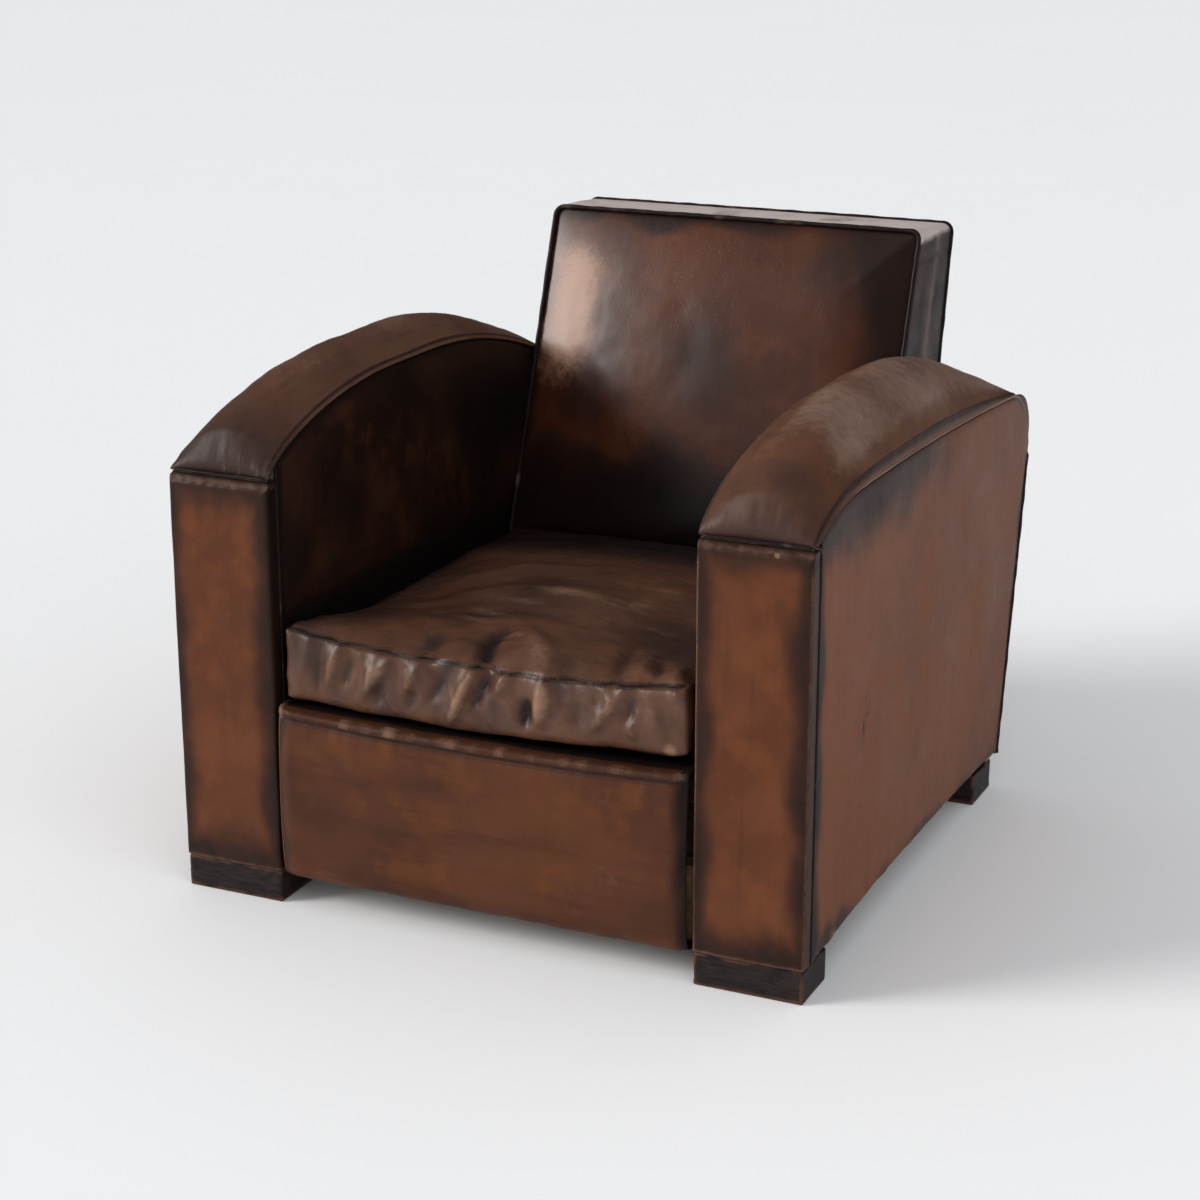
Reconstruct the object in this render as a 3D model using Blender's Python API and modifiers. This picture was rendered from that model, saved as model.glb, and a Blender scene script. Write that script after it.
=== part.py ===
# Worn leather club chair: wooden frame, sprung seat, stuffed arms and back, leather covers.
# Metres, +Z up. The chair faces -Y and +X is to the viewer's right.
# Every piece is modelled with y measured back from the arm fronts, and hangs on one empty that
# moves the middle of the chair's floor area to the origin.

import math

import bmesh
import bpy
from mathutils import Vector

# Overall form
CHAIR_WIDTH = 0.800
BASE_DEPTH = 0.745
BACK_HEIGHT = 0.735
FOOT_HEIGHT = 0.040
REAR_LEAN = 0.20
BACK_FRONT_LEAN = 0.36
BACK_TOP_THICKNESS = 0.117

# Arms
ARM_WIDTH = 0.133
ARM_FRONT_HEIGHT = 0.526
ARM_INNER_RISE = 0.078
ARM_INNER_RISE_LENGTH = 0.300
ARM_INNER_RISE_POWER = 0.7
ARM_INNER_LEVEL_END = 0.400
ARM_INNER_FALL = 0.60
ARM_OUTER_RISE = 0.032
ARM_OUTER_RISE_LENGTH = 0.150
ARM_OUTER_RISE_POWER = 2.2
ARM_OUTER_FALL = 0.069
ARM_CROWN = 0.030
ARM_REAR_CROWN = 0.018
ARM_TWIST_POWER = 5
ARM_REAR_RADIUS = 0.085
ARM_REAR_HEIGHT = 0.442
ARM_REAR_OVERHANG = 0.0035
ARM_NOSE_SETBACK = 0.0055
ARM_NOSE_LENGTH = 0.020
ARM_REAR_LENGTH = 0.350
INSIDE_ARM_PADDING = 0.018
INSIDE_ARM_BOTTOM = 0.200
INSIDE_ARM_SETBACK = 0.045
SIDE_ARCH_RISE = 0.013

# Covers and clearances
LEATHER = 0.0025
CANVAS = 0.0015
GAP = 0.0003
SEAM_ALLOWANCE = 0.0037

# Arm fronts
FACING_DEPTH = 0.0225
FACING_CHAMFER = 0.009

# Frame timber
POST_DEPTH = 0.035
RAIL_HEIGHT = 0.0905
RAIL_THICKNESS = 0.030
FRONT_RAIL_DEPTH = 0.0303
FRONT_RAIL_THICKNESS = 0.035
ARM_RAIL_HEIGHT = 0.045
ARM_RAIL_COVER = 0.012
REAR_POST_COVER = 0.040

# Feet
FOOT_SETBACK = 0.002
FOOT_INSET = 0.001
FOOT_DEPTH = 0.0745
REAR_FOOT_SETBACK = 0.021
REAR_FOOT_DEPTH = 0.077
REAR_FOOT_WIDTH = 0.095
FOOT_BEVEL = 0.002

# Back
BACK_FRONT_TAPER = 0.005
BACK_REAR_DROP = 0.0075
BACK_CORNER_RADIUS = 0.012
BACK_DOME = 0.028
BACK_DOME_START = 0.315
BACK_STUFFING_DEPTH = 0.040
UPRIGHT_WIDTH = 0.045
BACK_TOP_RAIL_HEIGHT = 0.045
TACKING_RAIL_HEIGHT = 0.300
TACKING_RAIL_WIDTH = 0.045
TACKING_RAIL_THICKNESS = 0.025
BACK_DOME_POWER = 0.6
REAR_WELT_RADIUS = 0.0035
REAR_WELT_PROUD = 0.003
FRONT_WELT_RADIUS = 0.003

# Sprung seat
WEB_WIDTH = 0.050
WEB_THICKNESS = 0.0015
WEB_TACKING = 0.031
WEB_CROSSING_EASE = 0.004
SPRING_FIRST_ROW = 0.180
SPRING_ROW_SPACING = 0.180
SPRING_SPACING = 0.160
SPRING_WIRE_RADIUS = 0.0016
SPRING_END_RADIUS = 0.042
SPRING_WAIST_RADIUS = 0.027
SPRING_TURNS = 5
SPRING_POINTS_PER_TURN = 8
SPRING_END_SHARE = 0.12
SPRING_END_FLATNESS = 0.6
SPRING_WAIST_POWER = 1.5
CANVAS_RISE = 0.0655
CANVAS_SLOPE_LENGTH = 0.070
CANVAS_TACKING = 0.012
SEAT_STUFFING_HEIGHT = 0.0444

# Apron and cushion
APRON_CLEARANCE = 0.0055
APRON_PROUD = 0.015
APRON_HEIGHT = 0.2553
APRON_SEAM_HEIGHT = 0.236
APRON_END_ROUND = 0.020
APRON_END_SETBACK = 0.010
APRON_TUCK = 0.048
APRON_TUCK_RISE = 0.0012
APRON_UNDERSIDE_END = 0.010
APRON_RAIL_POINT = 4
APRON_STUFFING_FALL = 0.003
CUSHION_CLEARANCE = 0.005
CUSHION_FRONT = 0.004
CUSHION_FRONT_HEIGHT = 0.335
CUSHION_REAR_HEIGHT = 0.314
CUSHION_CROWN = 0.036
CUSHION_ROUND = 0.010
CUSHION_FALL_SHARE = 0.4
CUSHION_ROLL_MARGIN = 0.004
CUSHION_SLOPE_LENGTH = 0.040

# The apron's rounded bottom, as distances behind its front and above its lowest edge, and its
# waist, seam and roll, as distances behind its front and below its top
APRON_BOTTOM_CURVE = ((0.009, 0.0065), (0.0025, 0.0375))
APRON_ROLL_CURVE = ((0.0065, 0.011), (0.014, 0.0028), (0.029, 0.0), (0.045, 0.0025))
APRON_WAIST = (0.0025, 0.031)
APRON_SEAM_SETBACK = 0.0055
APRON_RAIL_BAND = 0.005

# Derived levels and planes
HALF_WIDTH = CHAIR_WIDTH / 2
ARM_INNER = HALF_WIDTH - ARM_WIDTH
APRON_HALF_WIDTH = ARM_INNER - APRON_CLEARANCE
CUSHION_HALF_WIDTH = ARM_INNER - CUSHION_CLEARANCE
INSIDE_ARM_LENGTH = BASE_DEPTH - INSIDE_ARM_SETBACK
REAR_FOOT_START = BASE_DEPTH - REAR_FOOT_SETBACK - REAR_FOOT_DEPTH
SPRING_ROWS = tuple(SPRING_FIRST_ROW + SPRING_ROW_SPACING * row for row in range(3))
COVER = LEATHER + GAP
FRAME_OUTER = HALF_WIDTH - COVER
PAD_INNER = ARM_INNER + COVER
FRAME_INNER = PAD_INNER + INSIDE_ARM_PADDING + GAP
FRAME_BOTTOM = FOOT_HEIGHT + GAP
RAIL_TOP = FRAME_BOTTOM + RAIL_HEIGHT
FACING_TOP = ARM_FRONT_HEIGHT - SEAM_ALLOWANCE
POST_FRONT = FACING_DEPTH + GAP
POST_BACK = POST_FRONT + POST_DEPTH
FRONT_RAIL_BACK = FRONT_RAIL_DEPTH + FRONT_RAIL_THICKNESS
BACK_FRONT_HALF = ARM_INNER - BACK_FRONT_TAPER
BACK_REAR_HALF = ARM_INNER - GAP
BACK_REAR_TOP = BACK_HEIGHT - BACK_REAR_DROP
BACK_PAD_HALF = BACK_FRONT_HALF - COVER
UPRIGHT_OUTER = BACK_PAD_HALF - GAP
UPRIGHT_INNER = UPRIGHT_OUTER - UPRIGHT_WIDTH
FRAME_BACK_TOP = BACK_REAR_TOP - COVER - BACK_CORNER_RADIUS / 4
CANVAS_LEVEL = RAIL_TOP + GAP + CANVAS_RISE
SEAT_STUFFING_BOTTOM = CANVAS_LEVEL + CANVAS + GAP
SEAT_STUFFING_TOP = SEAT_STUFFING_BOTTOM + SEAT_STUFFING_HEIGHT
PLATFORM_TOP = SEAT_STUFFING_TOP + COVER
BACK_BOTTOM = PLATFORM_TOP + GAP
SEAT_START = APRON_TUCK + GAP
WEB_LEVEL = FRAME_BOTTOM - GAP - WEB_THICKNESS / 2
WEB_WEAVE = (WEB_THICKNESS + GAP) / 2
SIDES = (("left", -1), ("right", 1))

# Colours and finishes
OXBLOOD_LEATHER = ((0.115, 0.042, 0.020), 0.42, 0.0)
DARK_LEATHER = ((0.030, 0.014, 0.009), 0.50, 0.0)
TIMBER = ((0.35, 0.22, 0.12), 0.65, 0.0)
FOOT_TIMBER = ((0.030, 0.014, 0.009), 0.50, 0.0)
HORSEHAIR = ((0.10, 0.075, 0.05), 0.95, 0.0)
JUTE = ((0.42, 0.32, 0.19), 0.95, 0.0)
SPRING_STEEL = ((0.35, 0.34, 0.32), 0.38, 1.0)


def clear_scene():
    for item in list(bpy.data.objects):
        bpy.data.objects.remove(item, do_unlink=True)


def make_collection(name):
    collection = bpy.data.collections.new(name)
    bpy.context.scene.collection.children.link(collection)
    return collection


def make_material(name, finish):
    colour, roughness, metallic = finish
    material = bpy.data.materials.new(name)
    material.use_nodes = True
    shader = material.node_tree.nodes["Principled BSDF"]
    shader.inputs["Base Color"].default_value = (*colour, 1.0)
    shader.inputs["Roughness"].default_value = roughness
    shader.inputs["Metallic"].default_value = metallic
    material.diffuse_color = (*colour, 1.0)
    return material


def add_object(name, mesh, finish, smooth=40.0):
    """Link a mesh to the chair, give it its own material and hang it on the centring empty."""
    item = bpy.data.objects.new(name, mesh)
    chair.objects.link(item)
    item.parent = centre
    mesh.materials.clear()
    mesh.materials.append(make_material(name, finish))
    if smooth:
        mesh.shade_smooth()
        mesh.set_sharp_from_angle(angle=math.radians(smooth))
    return item


def lerp(start, end, share):
    return start + (end - start) * share


def smoothstep(value):
    value = min(1.0, max(0.0, value))
    return value * value * (3 - 2 * value)


def spread(start, end, count):
    """Evenly spaced values from start to end, with count intervals."""
    return [lerp(start, end, index / count) for index in range(count + 1)]


def face_outwards(work):
    """Turn a closed mesh right side out after its points have been moved."""
    if work.calc_volume(signed=True) < 0:
        bmesh.ops.reverse_faces(work, faces=work.faces)


def block(name, us, vs, ws, place, finish, smooth=40.0, nested=False):
    """A closed grid block whose grid lines us, vs and ws are placed by a function.

    Nested blocks lie closely in each other, so their twisted squares are all halved alike.
    """
    mesh = bpy.data.meshes.new(name)
    work = bmesh.new()
    bmesh.ops.create_cube(work, size=1.0)
    bmesh.ops.translate(work, verts=work.verts, vec=(0.5, 0.5, 0.5))
    for axis, lines in enumerate((us, vs, ws)):
        cuts = len(lines) - 2
        along = [edge for edge in work.edges
                 if abs(edge.verts[0].co[axis] - edge.verts[1].co[axis]) > 0.5]
        if cuts > 0:
            bmesh.ops.subdivide_edges(work, edges=along, cuts=cuts, use_grid_fill=True)
    for vert in work.verts:
        u = us[round(vert.co.x * (len(us) - 1))]
        v = vs[round(vert.co.y * (len(vs) - 1))]
        w = ws[round(vert.co.z * (len(ws) - 1))]
        vert.co = place(u, v, w)
    face_outwards(work)
    if nested:
        bmesh.ops.triangulate(work, faces=work.faces, quad_method="SHORT_EDGE")
    work.to_mesh(mesh)
    work.free()
    return add_object(name, mesh, finish, smooth)


def board(name, low, high, finish, bevel=0.0):
    """A rectangular board between two corners."""
    item = block(name, [low[0], high[0]], [low[1], high[1]], [low[2], high[2]],
                 lambda x, y, z: Vector((x, y, z)), finish, smooth=0)
    if bevel:
        modifier = item.modifiers.new("eased edges", "BEVEL")
        modifier.width = bevel
        modifier.segments = 2
    return item


def panel(name, outline, place, finish):
    """A flat outline given thickness, then bent by a function of (across, up, thickness share)."""
    curve = bpy.data.curves.new(name, "CURVE")
    curve.dimensions = "2D"
    curve.fill_mode = "BOTH"
    curve.extrude = 0.5
    spline = curve.splines.new("POLY")
    spline.points.add(len(outline) - 1)
    for point, (across, up) in zip(spline.points, outline):
        point.co = (across, up, 0, 1)
    spline.use_cyclic_u = True
    return bent_mesh(name, curve, place, finish)


def bent_mesh(name, curve, place, finish):
    """Turn a curve into a welded mesh whose points are moved by a function."""
    guide = bpy.data.objects.new(name + " guide", curve)
    chair.objects.link(guide)
    evaluated = guide.evaluated_get(bpy.context.evaluated_depsgraph_get())
    mesh = bpy.data.meshes.new_from_object(evaluated)
    bpy.data.objects.remove(guide, do_unlink=True)
    bpy.data.curves.remove(curve)
    mesh.name = name
    work = bmesh.new()
    work.from_mesh(mesh)
    bmesh.ops.remove_doubles(work, verts=work.verts, dist=0.00001)
    for vert in work.verts:
        vert.co = place(vert.co.x, vert.co.y, vert.co.z + 0.5)
    face_outwards(work)
    work.to_mesh(mesh)
    work.free()
    return add_object(name, mesh, finish)


def tube(name, points, radius, finish, resolution=1):
    """A round cord or wire through a list of points, with closed ends."""
    curve = bpy.data.curves.new(name, "CURVE")
    curve.dimensions = "3D"
    curve.bevel_depth = radius
    curve.bevel_resolution = resolution
    curve.use_fill_caps = True
    spline = curve.splines.new("POLY")
    spline.points.add(len(points) - 1)
    for point, place in zip(spline.points, points):
        point.co = (*place, 1)
    item = bpy.data.objects.new(name, curve)
    chair.objects.link(item)
    item.parent = centre
    curve.materials.append(make_material(name, finish))
    return item


def arc(middle, radius, start, end, steps):
    """Points on a circle's arc, angles in degrees."""
    angles = [math.radians(angle) for angle in spread(start, end, steps)]
    return [(middle[0] + radius * math.cos(angle), middle[1] + radius * math.sin(angle))
            for angle in angles]


# The leaning planes of the back

def rear_plane(height):
    return BASE_DEPTH + REAR_LEAN * (height - FOOT_HEIGHT)


def back_front_plane(height):
    return rear_plane(BACK_HEIGHT) - BACK_TOP_THICKNESS - BACK_FRONT_LEAN * (BACK_HEIGHT - height)


ARM_END = rear_plane(ARM_REAR_HEIGHT) + ARM_REAR_OVERHANG


# The crowned top of an arm

def rear_corner_drop(depth):
    """Share of the way down the arm's rounded rear corner, as a quarter of a circle."""
    past = max(0.0, depth - (ARM_END - ARM_REAR_RADIUS)) / ARM_REAR_RADIUS
    return 1 - math.sqrt(max(0.0, 1 - past ** 2))


def inner_line(depth):
    share = min(1.0, max(0.0, depth - ARM_NOSE_SETBACK) / ARM_INNER_RISE_LENGTH)
    rise = ARM_INNER_RISE * (1 - (1 - share) ** 2) ** ARM_INNER_RISE_POWER
    fall = ARM_INNER_FALL * max(0.0, depth - ARM_INNER_LEVEL_END) ** 2
    return ARM_FRONT_HEIGHT + rise - fall


def outer_line(depth):
    share = min(1.0, max(0.0, depth - ARM_NOSE_SETBACK) / ARM_OUTER_RISE_LENGTH)
    rise = ARM_OUTER_RISE * (1 - (1 - share) ** ARM_OUTER_RISE_POWER)
    fall = ARM_OUTER_FALL * max(0.0, depth - ARM_OUTER_RISE_LENGTH) ** 2
    return ARM_FRONT_HEIGHT + rise - fall


def inner_seam(depth):
    return inner_line(depth) - rear_corner_drop(depth) * (inner_line(ARM_END) - ARM_REAR_HEIGHT)


def outer_seam(depth):
    return outer_line(depth) - rear_corner_drop(depth) * (outer_line(ARM_END) - ARM_REAR_HEIGHT)


def arm_crown(depth):
    nose = math.sqrt(min(1.0, max(0.0, depth - ARM_NOSE_SETBACK) / ARM_NOSE_LENGTH))
    level = lerp(ARM_CROWN, ARM_REAR_CROWN, smoothstep((depth - ARM_INNER_LEVEL_END) / ARM_REAR_LENGTH))
    return nose * level * (1 - rear_corner_drop(depth))


def arm_surface(across, depth):
    """Top of the arm; across runs from 0 at the inner seam to 1 at the outer seam."""
    inner = inner_seam(depth)
    outer = outer_seam(depth)
    crown = 4 * arm_crown(depth) * across * (1 - across)
    return Vector((ARM_INNER + ARM_WIDTH * across, depth,
                   inner - (inner - outer) * across ** ARM_TWIST_POWER + crown))


def below_arm_surface(across, depth, distance):
    """A point at a distance under the arm's top, measured square to it."""
    step = 0.0005
    reach = 0.004
    first = max(depth - step, ARM_NOSE_SETBACK)
    last = min(depth + step, ARM_END)
    along = arm_surface(across, last) - arm_surface(across, first)
    side = arm_surface(min(1.0, across + reach), depth) - arm_surface(max(0.0, across - reach), depth)
    normal = side.cross(along).normalized()
    return arm_surface(across, depth) - normal * distance


def below_outer_seam(depth, distance):
    """A point of the side panel's top edge, square to the outer seam."""
    step = 0.0005
    rise = outer_seam(min(depth + step, ARM_END)) - outer_seam(depth - step)
    along = Vector((min(depth + step, ARM_END) - depth + step, rise)).normalized()
    return (depth + along.y * distance, outer_seam(depth) - along.x * distance)


def arm_rail_top(depth):
    return min(outer_seam(depth), inner_seam(depth)) - ARM_RAIL_COVER


ARM_RAIL_END = rear_plane(arm_rail_top(ARM_END - POST_DEPTH) - ARM_RAIL_HEIGHT) - COVER - POST_DEPTH - GAP


def arm_stations(start, end):
    """Depths at which the arm's pieces are cut, closest together at the nose and the rear corner."""
    count = 18
    same = 0.0001
    curved = [lerp(ARM_NOSE_SETBACK, ARM_END, (1 - math.cos(math.pi * index / count)) / 2)
              for index in range(count + 1)]
    common = sorted(curved + [POST_FRONT, ARM_RAIL_END])
    inside = [depth for depth in common if start + same < depth < end - same]
    return [start] + inside + [end]


def to_side(side, point):
    return Vector((point[0] * side, point[1], point[2]))


# Feet and frame

def make_feet():
    for word, side in SIDES:
        outer = HALF_WIDTH - FOOT_INSET
        board(f"foot_front_{word}",
              to_side(side, (ARM_INNER + FOOT_INSET, FOOT_SETBACK, 0)),
              to_side(side, (outer, FOOT_SETBACK + FOOT_DEPTH, FOOT_HEIGHT)),
              FOOT_TIMBER, FOOT_BEVEL)
        board(f"foot_back_{word}",
              to_side(side, (outer - REAR_FOOT_WIDTH, REAR_FOOT_START, 0)),
              to_side(side, (outer, REAR_FOOT_START + REAR_FOOT_DEPTH, FOOT_HEIGHT)),
              FOOT_TIMBER, FOOT_BEVEL)


def make_front_posts():
    def place(side):
        return lambda x, depth, share: Vector((
            x * side, depth,
            lerp(FRAME_BOTTOM, arm_rail_top(depth) - ARM_RAIL_HEIGHT - GAP, share)))
    for word, side in SIDES:
        block(f"front_post_{word}", [FRAME_INNER, FRAME_OUTER], [POST_FRONT, POST_BACK], [0, 1],
              place(side), TIMBER, smooth=0)


def make_rear_posts():
    """Raked posts; their tops stay under the rounded rear corner of the arm."""
    def place(side):
        def point(x, share, up):
            inset = COVER + POST_DEPTH * (1 - share)
            top = outer_seam(rear_plane(ARM_REAR_HEIGHT) - inset) - REAR_POST_COVER
            height = lerp(FRAME_BOTTOM, top, up)
            return Vector((x * side, rear_plane(height) - inset, height))
        return point
    for word, side in SIDES:
        block(f"rear_post_{word}", [FRAME_INNER, FRAME_OUTER], [0, 1], [0, 1],
              place(side), TIMBER, smooth=0)


def make_arm_rails():
    def place(side):
        return lambda x, depth, share: Vector((
            x * side, depth, arm_rail_top(depth) - ARM_RAIL_HEIGHT * (1 - share)))
    for word, side in SIDES:
        block(f"arm_rail_{word}", [FRAME_INNER, FRAME_OUTER],
              arm_stations(POST_FRONT, ARM_RAIL_END), [0, 1], place(side), TIMBER)


def make_side_rails():
    def place(side):
        def point(x, share, height):
            end = rear_plane(height) - COVER - POST_DEPTH - GAP
            return Vector((x * side, lerp(POST_BACK + GAP, end, share), height))
        return point
    for word, side in SIDES:
        block(f"side_rail_{word}", [FRAME_INNER, FRAME_INNER + RAIL_THICKNESS], [0, 1],
              [FRAME_BOTTOM, RAIL_TOP], place(side), TIMBER, smooth=0)


def make_seat_rails():
    half = FRAME_INNER - GAP
    board("front_rail", (-half, FRONT_RAIL_DEPTH, FRAME_BOTTOM), (half, FRONT_RAIL_BACK, RAIL_TOP), TIMBER)

    def place(x, share, height):
        return Vector((x, rear_plane(height) - COVER - RAIL_THICKNESS * (1 - share), height))
    block("rear_rail", [-half, half], [0, 1], [FRAME_BOTTOM, RAIL_TOP], place, TIMBER, smooth=0)


def upright_front(height):
    """Front edge of a back upright, which narrows below the seat to stand on the rear rail."""
    foot = rear_plane(RAIL_TOP) - COVER - RAIL_THICKNESS + CANVAS_TACKING + 2 * CANVAS
    full = back_front_plane(BACK_BOTTOM) + BACK_STUFFING_DEPTH
    if height < BACK_BOTTOM:
        return lerp(foot, full, (height - RAIL_TOP - GAP) / (BACK_BOTTOM - RAIL_TOP - GAP))
    return back_front_plane(height) + BACK_STUFFING_DEPTH


def make_back_uprights():
    def place(side):
        return lambda x, share, height: Vector((
            x * side, lerp(upright_front(height), rear_plane(height) - COVER, share), height))
    for word, side in SIDES:
        block(f"back_upright_{word}", [UPRIGHT_INNER, UPRIGHT_OUTER], [0, 1],
              [RAIL_TOP + GAP, BACK_BOTTOM, FRAME_BACK_TOP], place(side), TIMBER, smooth=0)


def make_back_rails():
    half = UPRIGHT_INNER - GAP

    def top_place(x, share, height):
        return Vector((x, lerp(upright_front(height), rear_plane(height) - COVER, share), height))
    block("back_top_rail", [-half, half], [0, 1], [FRAME_BACK_TOP - BACK_TOP_RAIL_HEIGHT, FRAME_BACK_TOP],
          top_place, TIMBER, smooth=0)

    def tacking_place(x, share, height):
        return Vector((x, upright_front(height) + TACKING_RAIL_THICKNESS * share, height))
    block("back_tacking_rail", [-half, half], [0, 1],
          [TACKING_RAIL_HEIGHT, TACKING_RAIL_HEIGHT + TACKING_RAIL_WIDTH], tacking_place, TIMBER, smooth=0)


# Arm covers and stuffing

def make_facings():
    """The arm fronts: a board in a leather cover that is tucked in behind it."""
    for word, side in SIDES:
        low = Vector((ARM_INNER, 0, FRAME_BOTTOM))
        high = Vector((HALF_WIDTH, FACING_DEPTH, FACING_TOP))
        leather = facing_box(f"facing_leather_{word}", side, low, high, OXBLOOD_LEATHER, True)
        wall = leather.modifiers.new("leather", "SOLIDIFY")
        wall.thickness = LEATHER
        wall.offset = -1
        inset = Vector((COVER, COVER, COVER))
        low += inset
        high -= Vector((COVER, 0, COVER))
        facing_box(f"facing_board_{word}", side, low, high, TIMBER, False)


def facing_box(name, side, low, high, finish, is_open):
    """A box with its top front edge cut to a slope; an open one has no back face."""
    mesh = bpy.data.meshes.new(name)
    work = bmesh.new()
    bmesh.ops.create_cube(work, size=1.0)
    for vert in work.verts:
        share = vert.co + Vector((0.5, 0.5, 0.5))
        vert.co = to_side(side, (lerp(low.x, high.x, share.x), lerp(low.y, high.y, share.y),
                                 lerp(low.z, high.z, share.z)))
    face_outwards(work)
    top_front = [edge for edge in work.edges
                 if all(abs(vert.co.y - low.y) < GAP and abs(vert.co.z - high.z) < GAP
                        for vert in edge.verts)]
    bmesh.ops.bevel(work, geom=top_front, offset=FACING_CHAMFER, segments=1, profile=0.5,
                    affect="EDGES", clamp_overlap=True)
    face_outwards(work)
    if is_open:
        back = [face for face in work.faces
                if all(abs(vert.co.y - high.y) < GAP for vert in face.verts)]
        bmesh.ops.delete(work, geom=back, context="FACES_ONLY")
    work.to_mesh(mesh)
    work.free()
    return add_object(name, mesh, finish, smooth=0)


def make_outside_arms():
    """Side panels: an arched bottom edge, the outer seam on top and the raked rear edge behind."""
    start = POST_FRONT
    end = BASE_DEPTH - COVER

    def bottom(share):
        return FRAME_BOTTOM + SIDE_ARCH_RISE * math.sin(math.pi * share) ** 0.5
    lower = [(lerp(start, end, share), bottom(share)) for share in spread(0, 1, 12)]
    rear = [(rear_plane(ARM_REAR_HEIGHT) - COVER, ARM_REAR_HEIGHT)]
    edge = [below_outer_seam(depth, SEAM_ALLOWANCE) for depth in arm_stations(start, ARM_END)]
    upper = [point for point in edge[1:] if point[0] < rear_plane(point[1]) - COVER - GAP]
    upper = [(start, outer_seam(start) - SEAM_ALLOWANCE)] + upper
    outline = lower + rear + list(reversed(upper))

    def place(side):
        return lambda depth, height, share: Vector((
            (HALF_WIDTH - LEATHER * (1 - share)) * side, depth, height))
    for word, side in SIDES:
        panel(f"outside_arm_leather_{word}", outline, place(side), OXBLOOD_LEATHER)


def make_arm_tops():
    across_lines = [0, 0.07, 0.2, 0.36, 0.52, 0.67, 0.8, 0.9, 0.96, 1]
    margin = COVER / ARM_WIDTH
    pad_lines = [margin] + across_lines[1:-1] + [1 - margin]
    stations = arm_stations(ARM_NOSE_SETBACK, ARM_END)

    def leather_place(side):
        def point(across, depth, share):
            place = below_arm_surface(across, depth, LEATHER * (1 - share))
            place.x = min(max(place.x, ARM_INNER), HALF_WIDTH)
            return to_side(side, place)
        return point

    def stuffing_place(side):
        def point(across, depth, share):
            top = below_arm_surface(across, depth, COVER + GAP)
            top.x = min(max(top.x, PAD_INNER), FRAME_OUTER)
            base = arm_rail_top(depth) + GAP
            if depth < ARM_INNER_LEVEL_END:
                base = max(base, FACING_TOP + GAP)
            low = Vector((ARM_INNER + ARM_WIDTH * across, depth, base))
            return to_side(side, low.lerp(top, share))
        return point
    for word, side in SIDES:
        block(f"arm_top_leather_{word}", across_lines, stations, [0, 1],
              leather_place(side), OXBLOOD_LEATHER, smooth=60, nested=True)
        block(f"arm_top_stuffing_{word}", pad_lines, stations[:-2], [0, 1],
              stuffing_place(side), HORSEHAIR, smooth=60, nested=True)


def make_inside_arms():
    def leather_place(side):
        return lambda x, depth, share: Vector((
            x * side, depth, lerp(INSIDE_ARM_BOTTOM, inner_seam(depth) - SEAM_ALLOWANCE, share)))

    def stuffing_place(side):
        return lambda x, depth, share: Vector((
            x * side, depth, lerp(INSIDE_ARM_BOTTOM, arm_rail_top(depth), share)))
    for word, side in SIDES:
        stations = arm_stations(POST_FRONT, INSIDE_ARM_LENGTH)
        block(f"inside_arm_leather_{word}", [ARM_INNER, ARM_INNER + LEATHER], stations, [0, 1],
              leather_place(side), OXBLOOD_LEATHER)
        block(f"inside_arm_stuffing_{word}", [PAD_INNER, FRAME_INNER - GAP], stations, [0, 1],
              stuffing_place(side), HORSEHAIR)


# Back covers and stuffing

def dome_share(value):
    return max(0.0, math.sin(math.pi * min(1.0, max(0.0, value)))) ** BACK_DOME_POWER


def back_surface(x, height):
    """Depth of the inside back's domed leather."""
    across = (x + BACK_PAD_HALF) / (2 * BACK_PAD_HALF)
    up = (height - BACK_DOME_START) / (BACK_HEIGHT - COVER - BACK_DOME_START)
    return back_front_plane(height) - BACK_DOME * dome_share(across) * dome_share(up)


def back_pad_half(height):
    """Half width of the back's pad, which follows the border's rounded top corners."""
    radius = BACK_CORNER_RADIUS - COVER
    past = max(0.0, height - (BACK_HEIGHT - COVER - radius))
    return BACK_PAD_HALF - radius + math.sqrt(max(0.0, radius ** 2 - past ** 2))


def make_inside_back():
    columns = [math.sin(math.pi / 2 * share) for share in spread(-1, 1, 12)]
    rows = [lerp(BACK_DOME_START, BACK_HEIGHT - COVER, (1 - math.cos(math.pi * share)) / 2)
            for share in spread(0, 1, 10)]
    rows = [BACK_BOTTOM] + rows

    def leather_place(across, height, share):
        x = across * back_pad_half(height)
        return Vector((x, back_surface(x, height) + LEATHER * share, height))
    block("inside_back_leather", columns, rows, [0, 1], leather_place, OXBLOOD_LEATHER,
          smooth=60, nested=True)

    canvas_depth = BACK_STUFFING_DEPTH - CANVAS - GAP

    def stuffing_place(across, height, share):
        x = across * back_pad_half(height)
        front = Vector((x, back_surface(x, height) + COVER, height))
        level = min(height, FRAME_BACK_TOP)
        return front.lerp(Vector((x, back_front_plane(level) + canvas_depth - GAP, level)), share)
    block("back_stuffing", columns, rows, [0, 1], stuffing_place, HORSEHAIR, smooth=60, nested=True)

    def canvas_place(x, height, share):
        return Vector((x, back_front_plane(height) + canvas_depth + CANVAS * share, height))
    block("back_canvas", [-UPRIGHT_OUTER, UPRIGHT_OUTER], [BACK_BOTTOM, FRAME_BACK_TOP], [0, 1],
          canvas_place, JUTE, smooth=0)


def back_frame_path(half, top, radius, bottom):
    """Up one side of the back, round its two top corners and down the other side."""
    right = arc((half - radius, top - radius), radius, 0, 90, 4)
    left = [(-x, height) for x, height in reversed(right)]
    return [(half, bottom)] + right + left + [(-half, bottom)]


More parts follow.
